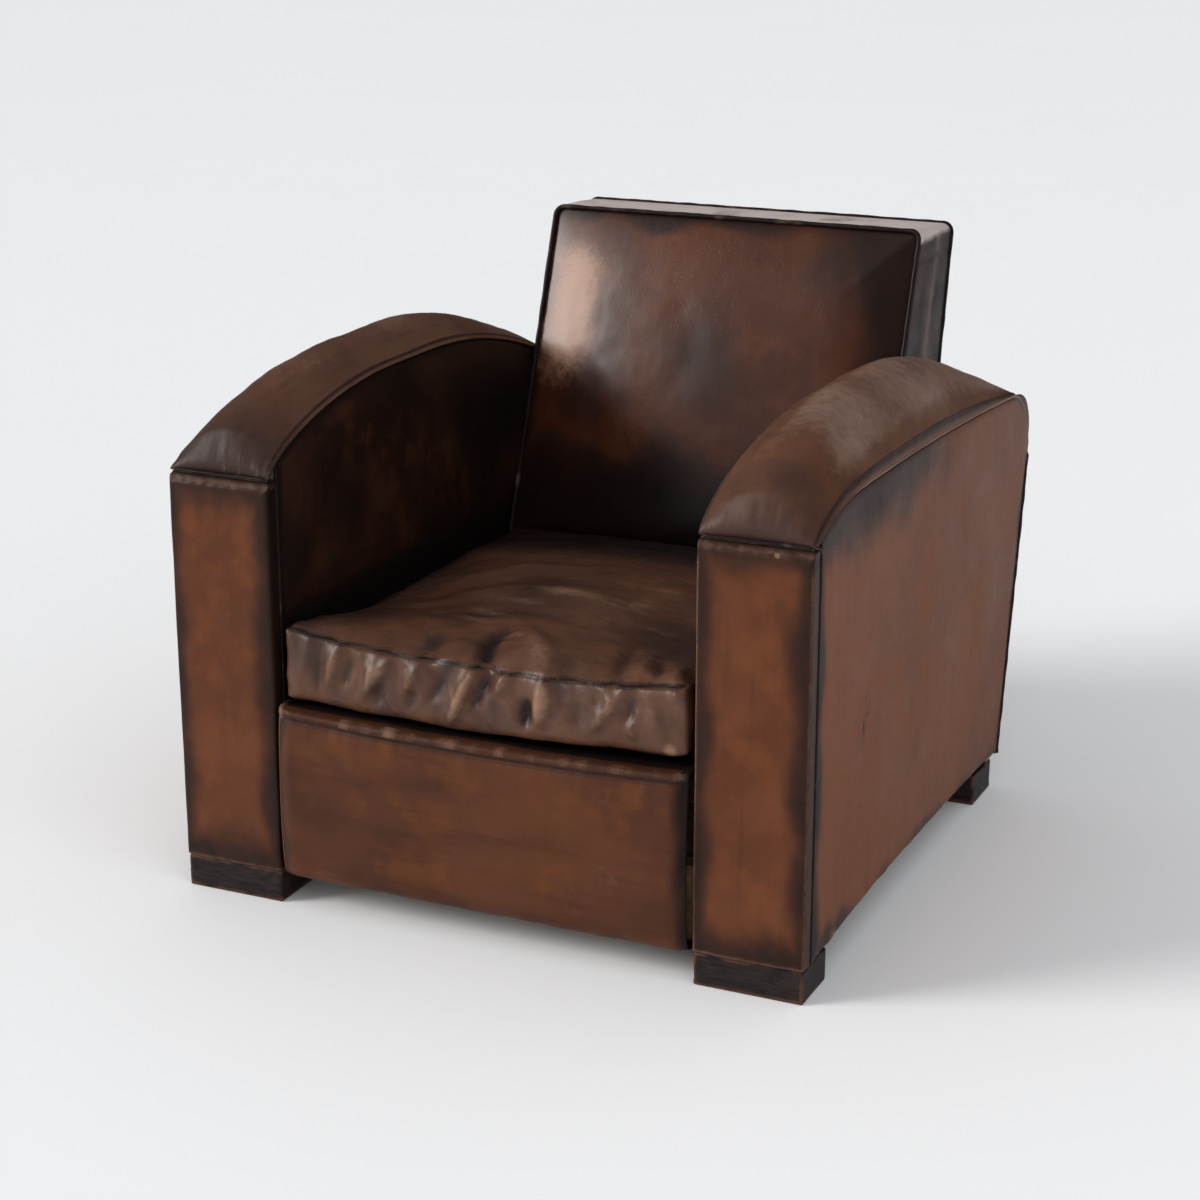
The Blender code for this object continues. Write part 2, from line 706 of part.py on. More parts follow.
def make_back_border():
    """The strip between the front and rear welts, over the top and down both sides."""
    bottom = BACK_BOTTOM
    front = back_frame_path(BACK_FRONT_HALF, BACK_HEIGHT, BACK_CORNER_RADIUS, bottom)
    rear = back_frame_path(BACK_REAR_HALF, BACK_REAR_TOP, BACK_CORNER_RADIUS, bottom)
    front_inner = back_frame_path(BACK_FRONT_HALF - LEATHER, BACK_HEIGHT - LEATHER,
                                  BACK_CORNER_RADIUS - LEATHER, bottom)
    rear_inner = back_frame_path(BACK_REAR_HALF - LEATHER, BACK_REAR_TOP - LEATHER,
                                 BACK_CORNER_RADIUS - LEATHER, bottom)

    def place(index, share, inward):
        starts = (front[index], front_inner[index])
        ends = (rear[index], rear_inner[index])
        x, height = Vector(starts[inward]).lerp(Vector(ends[inward]), share)
        start = back_front_plane(height)
        return Vector((x, lerp(start, rear_plane(height) - COVER, share), height))
    block("back_border_leather", list(range(len(front))), [0, 0.5, 1], [0, 1], place, OXBLOOD_LEATHER)


def make_front_welt():
    inset = LEATHER / 2
    path = back_frame_path(BACK_FRONT_HALF - inset, BACK_HEIGHT - inset, BACK_CORNER_RADIUS - inset,
                           BACK_BOTTOM + FRONT_WELT_RADIUS)
    points = [(x, back_front_plane(height) - FRONT_WELT_RADIUS - GAP, height) for x, height in path]
    tube("inside_back_welt", points, FRONT_WELT_RADIUS, DARK_LEATHER)


def tee_outline(inset, corner):
    """The rear panel's edge: as wide as the chair below the arms' tops, then as wide as the back."""
    wide = HALF_WIDTH - inset
    narrow = BACK_REAR_HALF - inset
    shoulder = ARM_REAR_HEIGHT - GAP - inset
    right = [(wide, FRAME_BOTTOM), (wide, shoulder - corner)]
    right += arc((wide - corner, shoulder - corner), corner, 22.5, 90, 3)
    right += [(narrow, shoulder)]
    right += arc((narrow - corner, BACK_REAR_TOP - inset - corner), corner, 0, 90, 4)
    return right + [(-x, height) for x, height in reversed(right)]


def make_outside_back():
    inset = 2 * REAR_WELT_RADIUS + GAP

    def place(x, height, share):
        return Vector((x, rear_plane(height) - LEATHER * share, height))
    panel("outside_back_leather", tee_outline(inset, BACK_CORNER_RADIUS / 2), place, OXBLOOD_LEATHER)
    outline = tee_outline(REAR_WELT_RADIUS, BACK_CORNER_RADIUS)
    points = [(x, rear_plane(height) + REAR_WELT_PROUD, height) for x, height in outline]
    tube("rear_welt", points, REAR_WELT_RADIUS, DARK_LEATHER)


# Sprung seat

def make_webs():
    """Jute webs under the rails, woven over and under each other below each spring."""
    columns = (-SPRING_SPACING, 0, SPRING_SPACING)
    half = FRAME_INNER + WEB_TACKING - GAP
    front = FRONT_RAIL_DEPTH + 2 * LEATHER
    rear = rear_plane(FRAME_BOTTOM) - COVER - RAIL_THICKNESS + WEB_TACKING - 2 * LEATHER

    def stations(crossings, low, high):
        flat = WEB_WIDTH / 2 + WEB_CROSSING_EASE
        inner = [crossing + side * flat for crossing in crossings for side in (-1, 1)]
        return [low] + inner + [high]

    def wave(value, crossings, first):
        for index, crossing in enumerate(crossings):
            if abs(value - crossing) < WEB_WIDTH:
                return WEB_WEAVE * first * (-1) ** index
        return 0.0

    for row, (word, depth) in enumerate(zip(("front", "middle", "back"), SPRING_ROWS)):
        def across_place(x, width, share, depth=depth, first=(-1) ** row):
            return Vector((x, depth + width, WEB_LEVEL + wave(x, columns, first) + WEB_THICKNESS * share))
        block(f"seat_web_{word}", stations(columns, -half, half), [-WEB_WIDTH / 2, WEB_WIDTH / 2],
              [-0.5, 0.5], across_place, JUTE)
    for column, (word, x) in enumerate(zip(("left", "centre", "right"), columns)):
        def along_place(width, depth, share, x=x, first=-(-1) ** column):
            return Vector((x + width, depth, WEB_LEVEL + wave(depth, SPRING_ROWS, first)
                           + WEB_THICKNESS * share))
        block(f"seat_web_{word}", [-WEB_WIDTH / 2, WEB_WIDTH / 2], stations(SPRING_ROWS, front, rear),
              [-0.5, 0.5], along_place, JUTE)


def make_springs():
    """Hourglass springs, standing on the crossed webs under the seat canvas."""
    low = WEB_LEVEL + WEB_WEAVE + WEB_THICKNESS / 2 + GAP + SPRING_WIRE_RADIUS
    high = CANVAS_LEVEL - GAP - SPRING_WIRE_RADIUS
    count = SPRING_TURNS * SPRING_POINTS_PER_TURN
    number = 0
    for depth in SPRING_ROWS:
        for x in (-SPRING_SPACING, 0, SPRING_SPACING):
            number += 1
            points = []
            for index in range(count + 1):
                share = index / count
                angle = 2 * math.pi * SPRING_TURNS * share
                waist = abs(2 * share - 1) ** SPRING_WAIST_POWER
                radius = lerp(SPRING_WAIST_RADIUS, SPRING_END_RADIUS, waist)
                middle = smoothstep((share - SPRING_END_SHARE) / (1 - 2 * SPRING_END_SHARE))
                climb = lerp(share, middle, SPRING_END_FLATNESS)
                points.append((x + radius * math.cos(angle), depth + radius * math.sin(angle),
                               lerp(low, high, climb)))
            tube(f"seat_spring_{number}", points, SPRING_WIRE_RADIUS, SPRING_STEEL)


def make_spring_canvas():
    rear_edge = rear_plane(RAIL_TOP) - COVER - RAIL_THICKNESS + CANVAS_TACKING
    rear_rail_front = rear_edge - CANVAS_TACKING
    half = FRAME_INNER - GAP
    slope = [0, 0.25, 0.5, 0.75, 1]
    sides = [half - CANVAS_SLOPE_LENGTH * share for share in slope]
    xs = [-x for x in sides] + list(reversed(sides))
    fronts = [FRONT_RAIL_BACK + CANVAS_SLOPE_LENGTH * share for share in slope]
    rears = [rear_rail_front - CANVAS_SLOPE_LENGTH * share for share in reversed(slope)]
    depths = [SEAT_START] + fronts + rears + [rear_edge]

    def place(x, depth, share):
        reach = min(depth - FRONT_RAIL_BACK, rear_rail_front - depth, half - abs(x))
        rise = CANVAS_RISE * smoothstep(reach / CANVAS_SLOPE_LENGTH)
        return Vector((x, depth, RAIL_TOP + GAP + rise + CANVAS * share))
    block("spring_canvas", xs, depths, [0, 1], place, JUTE)


def make_seat():
    half = ARM_INNER - GAP
    rear = back_front_plane(BACK_BOTTOM) + BACK_STUFFING_DEPTH - 2 * GAP
    board("seat_stuffing", (-half, SEAT_START, SEAT_STUFFING_BOTTOM), (half, rear, SEAT_STUFFING_TOP),
          HORSEHAIR)
    board("seat_platform_leather", (-half, SEAT_START, SEAT_STUFFING_TOP + GAP),
          (half, rear, PLATFORM_TOP), OXBLOOD_LEATHER)


# Apron and cushion

def apron_profile():
    """Outer line of the apron, from under the front rail up over its roll to the seat platform."""
    front = -APRON_PROUD
    low = FRAME_BOTTOM - GAP - LEATHER
    bottom = [(front + back, low + rise) for back, rise in APRON_BOTTOM_CURVE]
    roll = [(front + back, APRON_HEIGHT - fall) for back, fall in APRON_ROLL_CURVE]
    line = [(FRONT_RAIL_DEPTH + LEATHER, low), (APRON_UNDERSIDE_END, low)] + bottom
    line += [(front + GAP / 3, RAIL_TOP + 2 * GAP), (front, RAIL_TOP + APRON_RAIL_BAND),
             (front + APRON_WAIST[0], APRON_SEAM_HEIGHT - APRON_WAIST[1]),
             (front + APRON_SEAM_SETBACK, APRON_SEAM_HEIGHT)]
    return line + roll + [(APRON_TUCK, PLATFORM_TOP + APRON_TUCK_RISE)]


def apron_point(x, index, inward):
    """A point of the apron's outer line, moved inward and eased back towards its two ends."""
    profile = apron_profile()
    here = Vector(profile[index])
    before = Vector(profile[max(0, index - 1)])
    after = Vector(profile[min(len(profile) - 1, index + 1)])
    along = (after - before).normalized()
    depth, height = here + Vector((along.y, -along.x)) * inward
    past = max(0.0, abs(x) - (APRON_HALF_WIDTH - APRON_END_ROUND)) / APRON_END_ROUND
    proud = max(0.0, (FRONT_RAIL_DEPTH - depth) / (FRONT_RAIL_DEPTH + APRON_PROUD))
    return Vector((x, depth + APRON_END_SETBACK * past ** 2 * proud, height))


def make_apron():
    def columns(inset):
        ends = [APRON_HALF_WIDTH - APRON_END_ROUND * share for share in (1, 0.6, 0.25)]
        ends.append(APRON_HALF_WIDTH - inset)
        return [-x for x in reversed(ends)] + [0] + ends
    count = len(apron_profile())

    def leather_place(x, index, share):
        return apron_point(x, index, LEATHER * share)
    block("apron_leather", columns(0), list(range(count)), [0, 1],
          leather_place, OXBLOOD_LEATHER, smooth=60, nested=True)

    def stuffing_place(x, index, share):
        front = apron_point(x, index, COVER + GAP)
        highest = SEAT_STUFFING_TOP - APRON_STUFFING_FALL * (count - 1 - index)
        height = min(max(front.z, FRAME_BOTTOM), highest)
        depth = FRONT_RAIL_DEPTH - GAP if index <= APRON_RAIL_POINT else APRON_TUCK
        if front.z < FRAME_BOTTOM:
            front.z = FRAME_BOTTOM
        return front.lerp(Vector((x, depth, height)), share)
    block("apron_stuffing", columns(COVER), list(range(2, count - 1)), [0, 1],
          stuffing_place, HORSEHAIR, smooth=60, nested=True)


def make_cushion():
    """A loose cushion: crowned top, boxed sides, raised in front where it lies on the apron's roll."""
    rest = PLATFORM_TOP + 2 * GAP
    roll = APRON_HEIGHT + 2 * GAP
    roll_end = APRON_TUCK + CUSHION_ROLL_MARGIN
    clear = 2 * FRONT_WELT_RADIUS + 3 * GAP

    def place(across, share, up):
        x = CUSHION_HALF_WIDTH * across
        depth = lerp(CUSHION_FRONT, back_front_plane(rest), share)
        bottom = lerp(roll, rest, smoothstep((depth - roll_end) / CUSHION_SLOPE_LENGTH))
        edge = lerp(CUSHION_FRONT_HEIGHT, CUSHION_REAR_HEIGHT, smoothstep(share / CUSHION_FALL_SHARE))
        crown = CUSHION_CROWN * dome_share((across + 1) / 2) * dome_share(share)
        height = lerp(bottom, edge, up) if up < 1 else edge + crown
        end = back_front_plane(min(height, BACK_DOME_START)) - clear
        depth = lerp(CUSHION_FRONT, end, share)
        return Vector((x, depth, height))
    columns = [math.sin(math.pi / 2 * share) for share in spread(-1, 1, 10)]
    rows = [(1 - math.cos(math.pi * share)) / 2 for share in spread(0, 1, 12)]
    cushion = block("seat_cushion", columns, rows, [0, 0.5, 1], place, OXBLOOD_LEATHER, smooth=60)
    modifier = cushion.modifiers.new("soft edges", "BEVEL")
    modifier.width = CUSHION_ROUND
    modifier.segments = 2
    modifier.limit_method = "ANGLE"
    modifier.angle_limit = math.radians(50)


clear_scene()
chair = make_collection("club_chair")
centre = bpy.data.objects.new("chair_centre", None)
chair.objects.link(centre)
REAR_REACH = rear_plane(BACK_REAR_TOP - REAR_WELT_RADIUS) + REAR_WELT_PROUD + REAR_WELT_RADIUS
centre.location.y = (APRON_PROUD - REAR_REACH) / 2
bpy.context.view_layer.update()

make_feet()
make_front_posts()
make_rear_posts()
make_arm_rails()
make_side_rails()
make_seat_rails()
make_back_uprights()
make_back_rails()
make_facings()
make_outside_arms()
make_arm_tops()
make_inside_arms()
make_inside_back()
make_back_border()
make_front_welt()
make_outside_back()
make_webs()
make_springs()
make_spring_canvas()
make_seat()
make_apron()
make_cushion()
bpy.context.view_layer.update()
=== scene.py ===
import math

import bmesh
import bpy
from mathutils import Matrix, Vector, noise
from mathutils.bvhtree import BVHTree


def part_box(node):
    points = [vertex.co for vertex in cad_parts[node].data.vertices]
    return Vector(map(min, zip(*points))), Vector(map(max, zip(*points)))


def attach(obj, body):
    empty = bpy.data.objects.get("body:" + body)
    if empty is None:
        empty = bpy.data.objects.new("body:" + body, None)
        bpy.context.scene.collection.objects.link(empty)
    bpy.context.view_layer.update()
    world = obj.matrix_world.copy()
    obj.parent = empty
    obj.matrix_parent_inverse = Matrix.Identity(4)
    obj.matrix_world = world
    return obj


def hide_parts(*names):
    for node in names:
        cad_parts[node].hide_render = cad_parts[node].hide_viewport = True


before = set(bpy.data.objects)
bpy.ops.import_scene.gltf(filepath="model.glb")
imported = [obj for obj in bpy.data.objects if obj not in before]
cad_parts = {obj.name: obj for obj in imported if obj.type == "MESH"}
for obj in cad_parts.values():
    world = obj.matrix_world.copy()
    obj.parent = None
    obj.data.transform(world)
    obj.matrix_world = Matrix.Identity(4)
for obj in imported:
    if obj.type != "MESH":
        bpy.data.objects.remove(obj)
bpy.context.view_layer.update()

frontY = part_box("facing_leather_left")[0][1]  # depths below are measured back from the arm fronts
sides = (("Left", "left", -1), ("Right", "right", 1))
scene = bpy.context.scene
print("club chair: frame loaded")

# The chair's own form, as the solids have it, in metres
form = {
    "halfWidth": 0.400, "armWidth": 0.133, "footHeight": 0.040, "baseDepth": 0.745,
    "rearLean": 0.20, "backLean": 0.36, "backTopDepth": 0.767, "backHeight": 0.735,
    "armHeight": 0.526, "innerRise": 0.078, "innerRiseLength": 0.300, "innerLevelEnd": 0.400,
    "innerFall": 0.60, "outerRise": 0.032, "outerRiseLength": 0.150, "outerFall": 0.069,
    "noseSetback": 0.0055, "noseLength": 0.020, "crown": 0.030, "rearCrown": 0.018,
    "rearCornerRadius": 0.085, "armRearHeight": 0.442, "rearLength": 0.350,
    "facingDepth": 0.0225, "facingTop": 0.5223, "frameBottom": 0.0403, "sideArch": 0.013,
    "backFrontHalf": 0.262, "backRearHalf": 0.2667, "backRearTop": 0.7275, "backCorner": 0.012,
    "domeStart": 0.315, "backBottom": 0.2459, "platform": 0.2456,
    "leather": 0.0025, "gap": 0.0003, "cover": 0.0028, "seamFold": 0.0037,
}
armInner = form["halfWidth"] - form["armWidth"]


def lerp(start, end, share):
    return start + (end - start) * share


def clamp(value, low=0.0, high=1.0):
    return min(high, max(low, value))


def smoothstep(value):
    value = clamp(value)
    return value * value * (3 - 2 * value)


def spread(start, end, count, crowding=0.0):  # lines from start to end, drawn towards both ends
    shares = [index / count for index in range(count + 1)]
    return [lerp(start, end, lerp(share, (1 - math.cos(math.pi * share)) / 2, crowding))
            for share in shares]


def hump(distance, width):  # 1 at no distance, fading away over about the width
    return math.exp(-(distance / width) ** 2)


def spot(place, centre, width):
    return hump(math.dist(place, centre), width)


def near(distance, width):  # 1 at no distance or less, nothing at the width or more
    return 1 - smoothstep(distance / width)


def ripple(place, size, seed=0.0):  # soft unevenness between about -0.5 and 0.5
    return noise.noise(Vector((place[0] / size + seed, place[1] / size - seed,
                               place[2] / size + 2.3 * seed)))


def crumple(place, size, seed=0.0):  # sharper unevenness, several sizes on each other
    point = Vector((place[0] / size + seed, place[1] / size - seed, place[2] / size + 2.3 * seed))
    return noise.fractal(point, 0.9, 2.1, 4)


def fold(x, y, line, width):  # how deep a point lies in a drawn fold, which thins out at its ends
    lengths = [math.dist(a, b) for a, b in zip(line, line[1:])]
    total = sum(lengths)
    best, passed = 0.0, 0.0
    for (a, b), length in zip(zip(line, line[1:]), lengths):
        share = clamp(((x - a[0]) * (b[0] - a[0]) + (y - a[1]) * (b[1] - a[1])) / length ** 2)
        distance = math.hypot(x - lerp(a[0], b[0], share), y - lerp(a[1], b[1], share))
        if distance < 3 * width:
            along = (passed + share * length) / total
            taper = clamp(0.25 + 3.2 * along * (1 - along))
            best = max(best, taper * hump(distance, width * lerp(0.6, 1.0, taper)))
        passed += length
    return best


def rearPlane(height):
    return form["baseDepth"] + form["rearLean"] * (height - form["footHeight"])


def backPlane(height):
    return form["backTopDepth"] - form["backLean"] * (form["backHeight"] - height)


armEnd = rearPlane(form["armRearHeight"]) + 0.0035


def rearDrop(depth):  # share of the way down the arm's rounded rear corner
    past = max(0.0, depth - (armEnd - form["rearCornerRadius"])) / form["rearCornerRadius"]
    return 1 - math.sqrt(max(0.0, 1 - past ** 2))


def innerLine(depth):
    share = clamp((depth - form["noseSetback"]) / form["innerRiseLength"])
    rise = form["innerRise"] * (1 - (1 - share) ** 2) ** 0.7
    return form["armHeight"] + rise - form["innerFall"] * max(0.0, depth - form["innerLevelEnd"]) ** 2


def outerLine(depth):
    share = clamp((depth - form["noseSetback"]) / form["outerRiseLength"])
    rise = form["outerRise"] * (1 - (1 - share) ** 2.2)
    fall = form["outerFall"] * max(0.0, depth - form["outerRiseLength"]) ** 2
    return form["armHeight"] + rise - fall


def innerSeam(depth):
    return innerLine(depth) - rearDrop(depth) * (innerLine(armEnd) - form["armRearHeight"])


def outerSeam(depth):
    return outerLine(depth) - rearDrop(depth) * (outerLine(armEnd) - form["armRearHeight"])


def armCrown(depth):
    nose = math.sqrt(clamp((depth - form["noseSetback"]) / form["noseLength"]))
    rear = smoothstep((depth - form["innerLevelEnd"]) / form["rearLength"])
    return nose * lerp(form["crown"], form["rearCrown"], rear) * (1 - rearDrop(depth))


def armSurface(across, depth):  # across runs from 0 at the inner seam to 1 at the outer seam
    inner, outer = innerSeam(depth), outerSeam(depth)
    crown = 4 * armCrown(depth) * across * (1 - across)
    return Vector((armInner + form["armWidth"] * across, depth,
                   inner - (inner - outer) * across ** 5 + crown))


# Shader building: a socket in a wrapper takes plain sums, and a recipe adds every other node

class Wire:
    def __init__(self, recipe, socket):
        self.recipe = recipe
        self.socket = socket

    def sum(self, operation, first, second):
        return self.recipe.node("ShaderNodeMath", {"operation": operation}, {0: first, 1: second})

    def __add__(self, other):
        return self.sum("ADD", self, other)

    def __radd__(self, other):
        return self.sum("ADD", other, self)

    def __sub__(self, other):
        return self.sum("SUBTRACT", self, other)

    def __rsub__(self, other):
        return self.sum("SUBTRACT", other, self)

    def __mul__(self, other):
        return self.sum("MULTIPLY", self, other)

    def __rmul__(self, other):
        return self.sum("MULTIPLY", other, self)


class Recipe:
    def __init__(self, name, room=None):  # a room is a world that takes the nodes in place of a material
        self.material = room or bpy.data.materials.new(name)
        self.material.use_nodes = True
        self.tree = self.material.node_tree
        self.shader = self.tree.nodes.get("Principled BSDF")
        self.place = self.node("ShaderNodeTexCoord", {}, {}, "Object")

    def node(self, kind, settings, sockets, output=0):
        item = self.tree.nodes.new(kind)
        for key, value in settings.items():
            setattr(item, key, value)
        for key, value in sockets.items():
            self.plug(item.inputs[key], value)
        return Wire(self, item.outputs[output])

    def plug(self, socket, value):
        if isinstance(value, Wire):
            self.tree.links.new(value.socket, socket)
        else:
            socket.default_value = value

    def set(self, **finish):  # names of the shader's own sockets, with _ for a space
        for key, value in finish.items():
            self.plug(self.shader.inputs[key.replace("_", " ")], value)

    def stretched(self, scale):
        return self.node("ShaderNodeMapping", {}, {"Vector": self.place, "Scale": scale})

    def cloud(self, size, detail=4.0, roughness=0.6, stretch=None, distortion=0.0):
        place = self.stretched(stretch) if stretch else self.place
        return self.node("ShaderNodeTexNoise", {}, {
            "Vector": place, "Scale": 1 / size, "Detail": detail, "Roughness": roughness,
            "Distortion": distortion})

    def cells(self, size, feature="F1", place=None):
        return self.node("ShaderNodeTexVoronoi", {"feature": feature}, {
            "Vector": place or self.place, "Scale": 1 / size}, "Distance")

    def between(self, value, low, high):  # 0 below low, 1 above high
        return self.node("ShaderNodeMapRange", {"interpolation_type": "SMOOTHSTEP"}, {
            "Value": value, "From Min": low, "From Max": high})

    def mark(self, name):  # a value painted on the piece's points
        return self.node("ShaderNodeAttribute", {"attribute_name": name}, {}, "Fac")

    def mix(self, share, first, second):
        colours = [value if isinstance(value, Wire) else (*value, 1.0) for value in (first, second)]
        return self.node("ShaderNodeMix", {"data_type": "RGBA"}, {0: share, 6: colours[0], 7: colours[1]}, 2)

    def bump(self, height, strength, distance):
        self.set(Normal=self.node("ShaderNodeBump", {}, {
            "Strength": strength, "Distance": distance, "Height": height}))


def leather(name, look):
    skin = Recipe(name)
    broad = skin.cloud(look["patchSize"], 3.0, 0.5, distortion=0.4)
    middle = skin.cloud(look["patchSize"] * 0.3, 4.0, 0.6)
    fine = skin.cloud(0.010, 4.0, 0.65)
    streaks = skin.cloud(0.016, 5.0, 0.65, look["streakStretch"])
    flecks = skin.cloud(0.0024, 3.0, 0.6)
    pores = skin.cells(0.0014)
    cracks = skin.cells(look["crackSize"], "DISTANCE_TO_EDGE", skin.node(
        "ShaderNodeVectorMath", {"operation": "MULTIPLY_ADD"}, {
            0: skin.node("ShaderNodeTexNoise", {}, {
                "Vector": skin.place, "Scale": 90.0, "Detail": 3.0}, "Color"),
            1: (0.012, 0.012, 0.012), 2: skin.place}))
    patinaAndShade, scuffAndHighlight = skin.mark("patinaAndShade"), skin.mark("scuffAndHighlight")

    colour = skin.mix(skin.between(broad, 0.36, 0.64), look["deep"], look["base"])
    colour = skin.mix(skin.between(middle, 0.46, 0.68) * look["warmShare"], colour, look["warm"])
    colour = skin.mix(skin.between(streaks, 0.50, 0.70) * look["streakShare"], colour, look["burnt"])
    colour = skin.mix(skin.between(flecks, 0.60, 0.76) * 0.22, colour, look["dark"])
    # the painted darkening value: real patina on some pieces, painted shade in recesses, under things and
    # between parts on others
    darkening = patinaAndShade + (middle - 0.5) * 0.30 + (streaks - 0.5) * 0.18
    colour = skin.mix(skin.between(darkening, 0.0, 0.62), colour, look["burnt"])
    colour = skin.mix(skin.between(darkening, 0.45, 1.0), colour, look["dark"])
    # the painted lightening value: real wear, and painted highlights and painted sheen where the pieces paint
    # them
    wearAndHighlight = skin.between(scuffAndHighlight + (middle - 0.5) * 0.3 + (fine - 0.5) * 0.5 + (flecks - 0.5) * 0.4, 0.25, 0.95)
    colour = skin.mix(wearAndHighlight * look["wearAndHighlightShare"], colour, look["wearAndHighlight"])

    crackArea = skin.between(broad, 0.44, 0.60)
    crackLines = 1 - skin.between(cracks, 0.0, 0.030)
    colour = skin.mix(crackLines * crackArea * look["crackle"] * 0.45, colour, look["dark"])
    skin.set(Base_Color=colour, Specular_IOR_Level=look["specular"], Coat_Roughness=look["coatRough"],
             Coat_Weight=look["coat"],
             Roughness=look["rough"] + (middle - 0.5) * 0.24 + (fine - 0.5) * 0.14 + wearAndHighlight * 0.08)
    height = pores * 0.25 + fine * 0.7 + flecks * 0.3 - crackLines * crackArea * look["crackle"]
    skin.bump(height, look["relief"], 0.0008)
    return skin.material


plainLeather = {
    "base": (0.122, 0.039, 0.0150), "deep": (0.088, 0.027, 0.0105), "warm": (0.150, 0.045, 0.0140),
    # the pale colour is for wear, and on the facings and the apron roll also for painted highlights
    "burnt": (0.038, 0.0135, 0.0072), "dark": (0.0085, 0.0050, 0.0042), "wearAndHighlight": (0.225, 0.125, 0.080),
    "patchSize": 0.18, "streakStretch": (1.0, 1.0, 0.10), "warmShare": 0.55, "streakShare": 0.22,
    "wearAndHighlightShare": 0.65, "crackle": 0.25, "crackSize": 0.010, "rough": 0.44, "relief": 0.26,
    "specular": 0.13, "coat": 0.0, "coatRough": 0.35,
}
greyed = {
    "base": (0.134, 0.084, 0.066), "deep": (0.100, 0.058, 0.043), "warm": (0.138, 0.060, 0.030),
    "burnt": (0.040, 0.020, 0.0155), "dark": (0.011, 0.0070, 0.0062), "wearAndHighlight": (0.210, 0.145, 0.115),
    "rough": 0.48, "specular": 0.20,
}
leathers = {
    "facing": leather("facingLeather", plainLeather),
    "side": leather("sideLeather", plainLeather | {
        "base": (0.170, 0.055, 0.0210), "deep": (0.132, 0.042, 0.0170), "warm": (0.190, 0.060, 0.0180),
        "burnt": (0.060, 0.026, 0.0180), "dark": (0.015, 0.0115, 0.0115), "patchSize": 0.24,
        "rough": 0.50}),
    "armTop": leather("armTopLeather", plainLeather | greyed | {
        "base": (0.118, 0.050, 0.028), "deep": (0.088, 0.035, 0.018), "warm": (0.140, 0.050, 0.018),
        # the pale colour here is for fading and wear, and for the painted highlights on the puckers
        "wearAndHighlight": (0.230, 0.150, 0.118), "wearAndHighlightShare": 0.90, "specular": 0.20,
        "streakStretch": (1.0, 0.12, 1.0), "patchSize": 0.16, "streakShare": 0.32}),
    "insideArm": leather("insideArmLeather", plainLeather | {
        "base": (0.036, 0.0125, 0.0065), "deep": (0.016, 0.0062, 0.0040), "warm": (0.056, 0.017, 0.007),
        "burnt": (0.012, 0.0055, 0.0040), "dark": (0.0060, 0.0040, 0.0035), "patchSize": 0.12,
        "rough": 0.52, "specular": 0.18}),
    "insideBack": leather("insideBackLeather", plainLeather | {
        "base": (0.082, 0.0220, 0.0075), "deep": (0.052, 0.0145, 0.0060), "warm": (0.112, 0.030, 0.0075),
        "burnt": (0.022, 0.0075, 0.0048), "dark": (0.0065, 0.0038, 0.0032),
        # the pale colour here is the colour of the painted highlight and the painted sheen on the inside back
        "wearAndHighlight": (0.420, 0.225, 0.140), "rough": 0.36, "crackle": 0.7, "crackSize": 0.016,
        "specular": 0.17, "coat": 0.30, "coatRough": 0.22, "patchSize": 0.22,
        "streakStretch": (1.0, 1.0, 0.30), "streakShare": 0.18, "relief": 0.24}),
    "apron": leather("apronLeather", plainLeather | {
        "base": (0.090, 0.029, 0.0120), "deep": (0.064, 0.0205, 0.0095), "warm": (0.130, 0.040, 0.0100),
        "streakStretch": (0.10, 1.0, 1.0), "streakShare": 0.34}),
    "border": leather("borderLeather", plainLeather | greyed | {
        # the pale colour here is the painted highlight on the top strip, and the rubbed corner
        "patchSize": 0.09, "wearAndHighlight": (0.50, 0.43, 0.40), "wearAndHighlightShare": 0.95, "specular": 0.14}),
    "outsideBack": leather("outsideBackLeather", plainLeather | {"patchSize": 0.25}),
    "cushion": leather("cushionLeather", plainLeather | greyed | {
        "base": (0.112, 0.049, 0.0280), "deep": (0.078, 0.033, 0.0190), "warm": (0.136, 0.050, 0.0190),
        # the pale colour here is for the painted highlights on the fold ridges, and for wear
        "wearAndHighlight": (0.300, 0.172, 0.105), "streakStretch": (0.25, 0.8, 1.0), "crackle": 0.6,
        "relief": 0.36, "rough": 0.40, "specular": 0.24, "coat": 0.04, "coatRough": 0.30}),
    "piping": leather("pipingLeather", plainLeather | {
        "base": (0.017, 0.011, 0.0095), "deep": (0.009, 0.006, 0.0055), "warm": (0.026, 0.013, 0.009),
        "burnt": (0.012, 0.008, 0.007), "wearAndHighlight": (0.10, 0.066, 0.050), "patchSize": 0.05, "rough": 0.40,
        "relief": 0.2}),
}


def thread(name, colour):
    cord = Recipe(name)
    twist = cord.cloud(0.0012, 2.0, 0.5)
    cord.set(Base_Color=cord.mix(twist, [share * 0.5 for share in colour], colour), Roughness=0.85)
    cord.bump(twist, 0.4, 0.0002)
    return cord.material


darkThread = thread("darkThread", (0.030, 0.018, 0.013))


def timber(name, pale, dark, roughness, wearAndHighlightShare):
    wood = Recipe(name)
    grain = wood.cloud(0.012, 6.0, 0.65, (0.25, 0.25, 1.0), 1.5)
    rings = wood.cloud(0.004, 3.0, 0.6, (0.12, 1.0, 1.0))
    scuffAndHighlight = wood.mark("scuffAndHighlight")
    colour = wood.mix(wood.between(grain, 0.35, 0.65), dark, pale)
    colour = wood.mix(wood.between(rings, 0.5, 0.7) * 0.4, colour, dark)
    wearAndHighlight = wood.between(scuffAndHighlight + (grain - 0.5) * 0.7, 0.35, 0.8)
    colour = wood.mix(wearAndHighlight * wearAndHighlightShare, colour, (0.085, 0.036, 0.022))
    wood.set(Base_Color=colour, Specular_IOR_Level=0.15, Roughness=roughness + (rings - 0.5) * 0.2)
    wood.bump(grain + rings * 0.5, 0.35, 0.0006)
    return wood.material


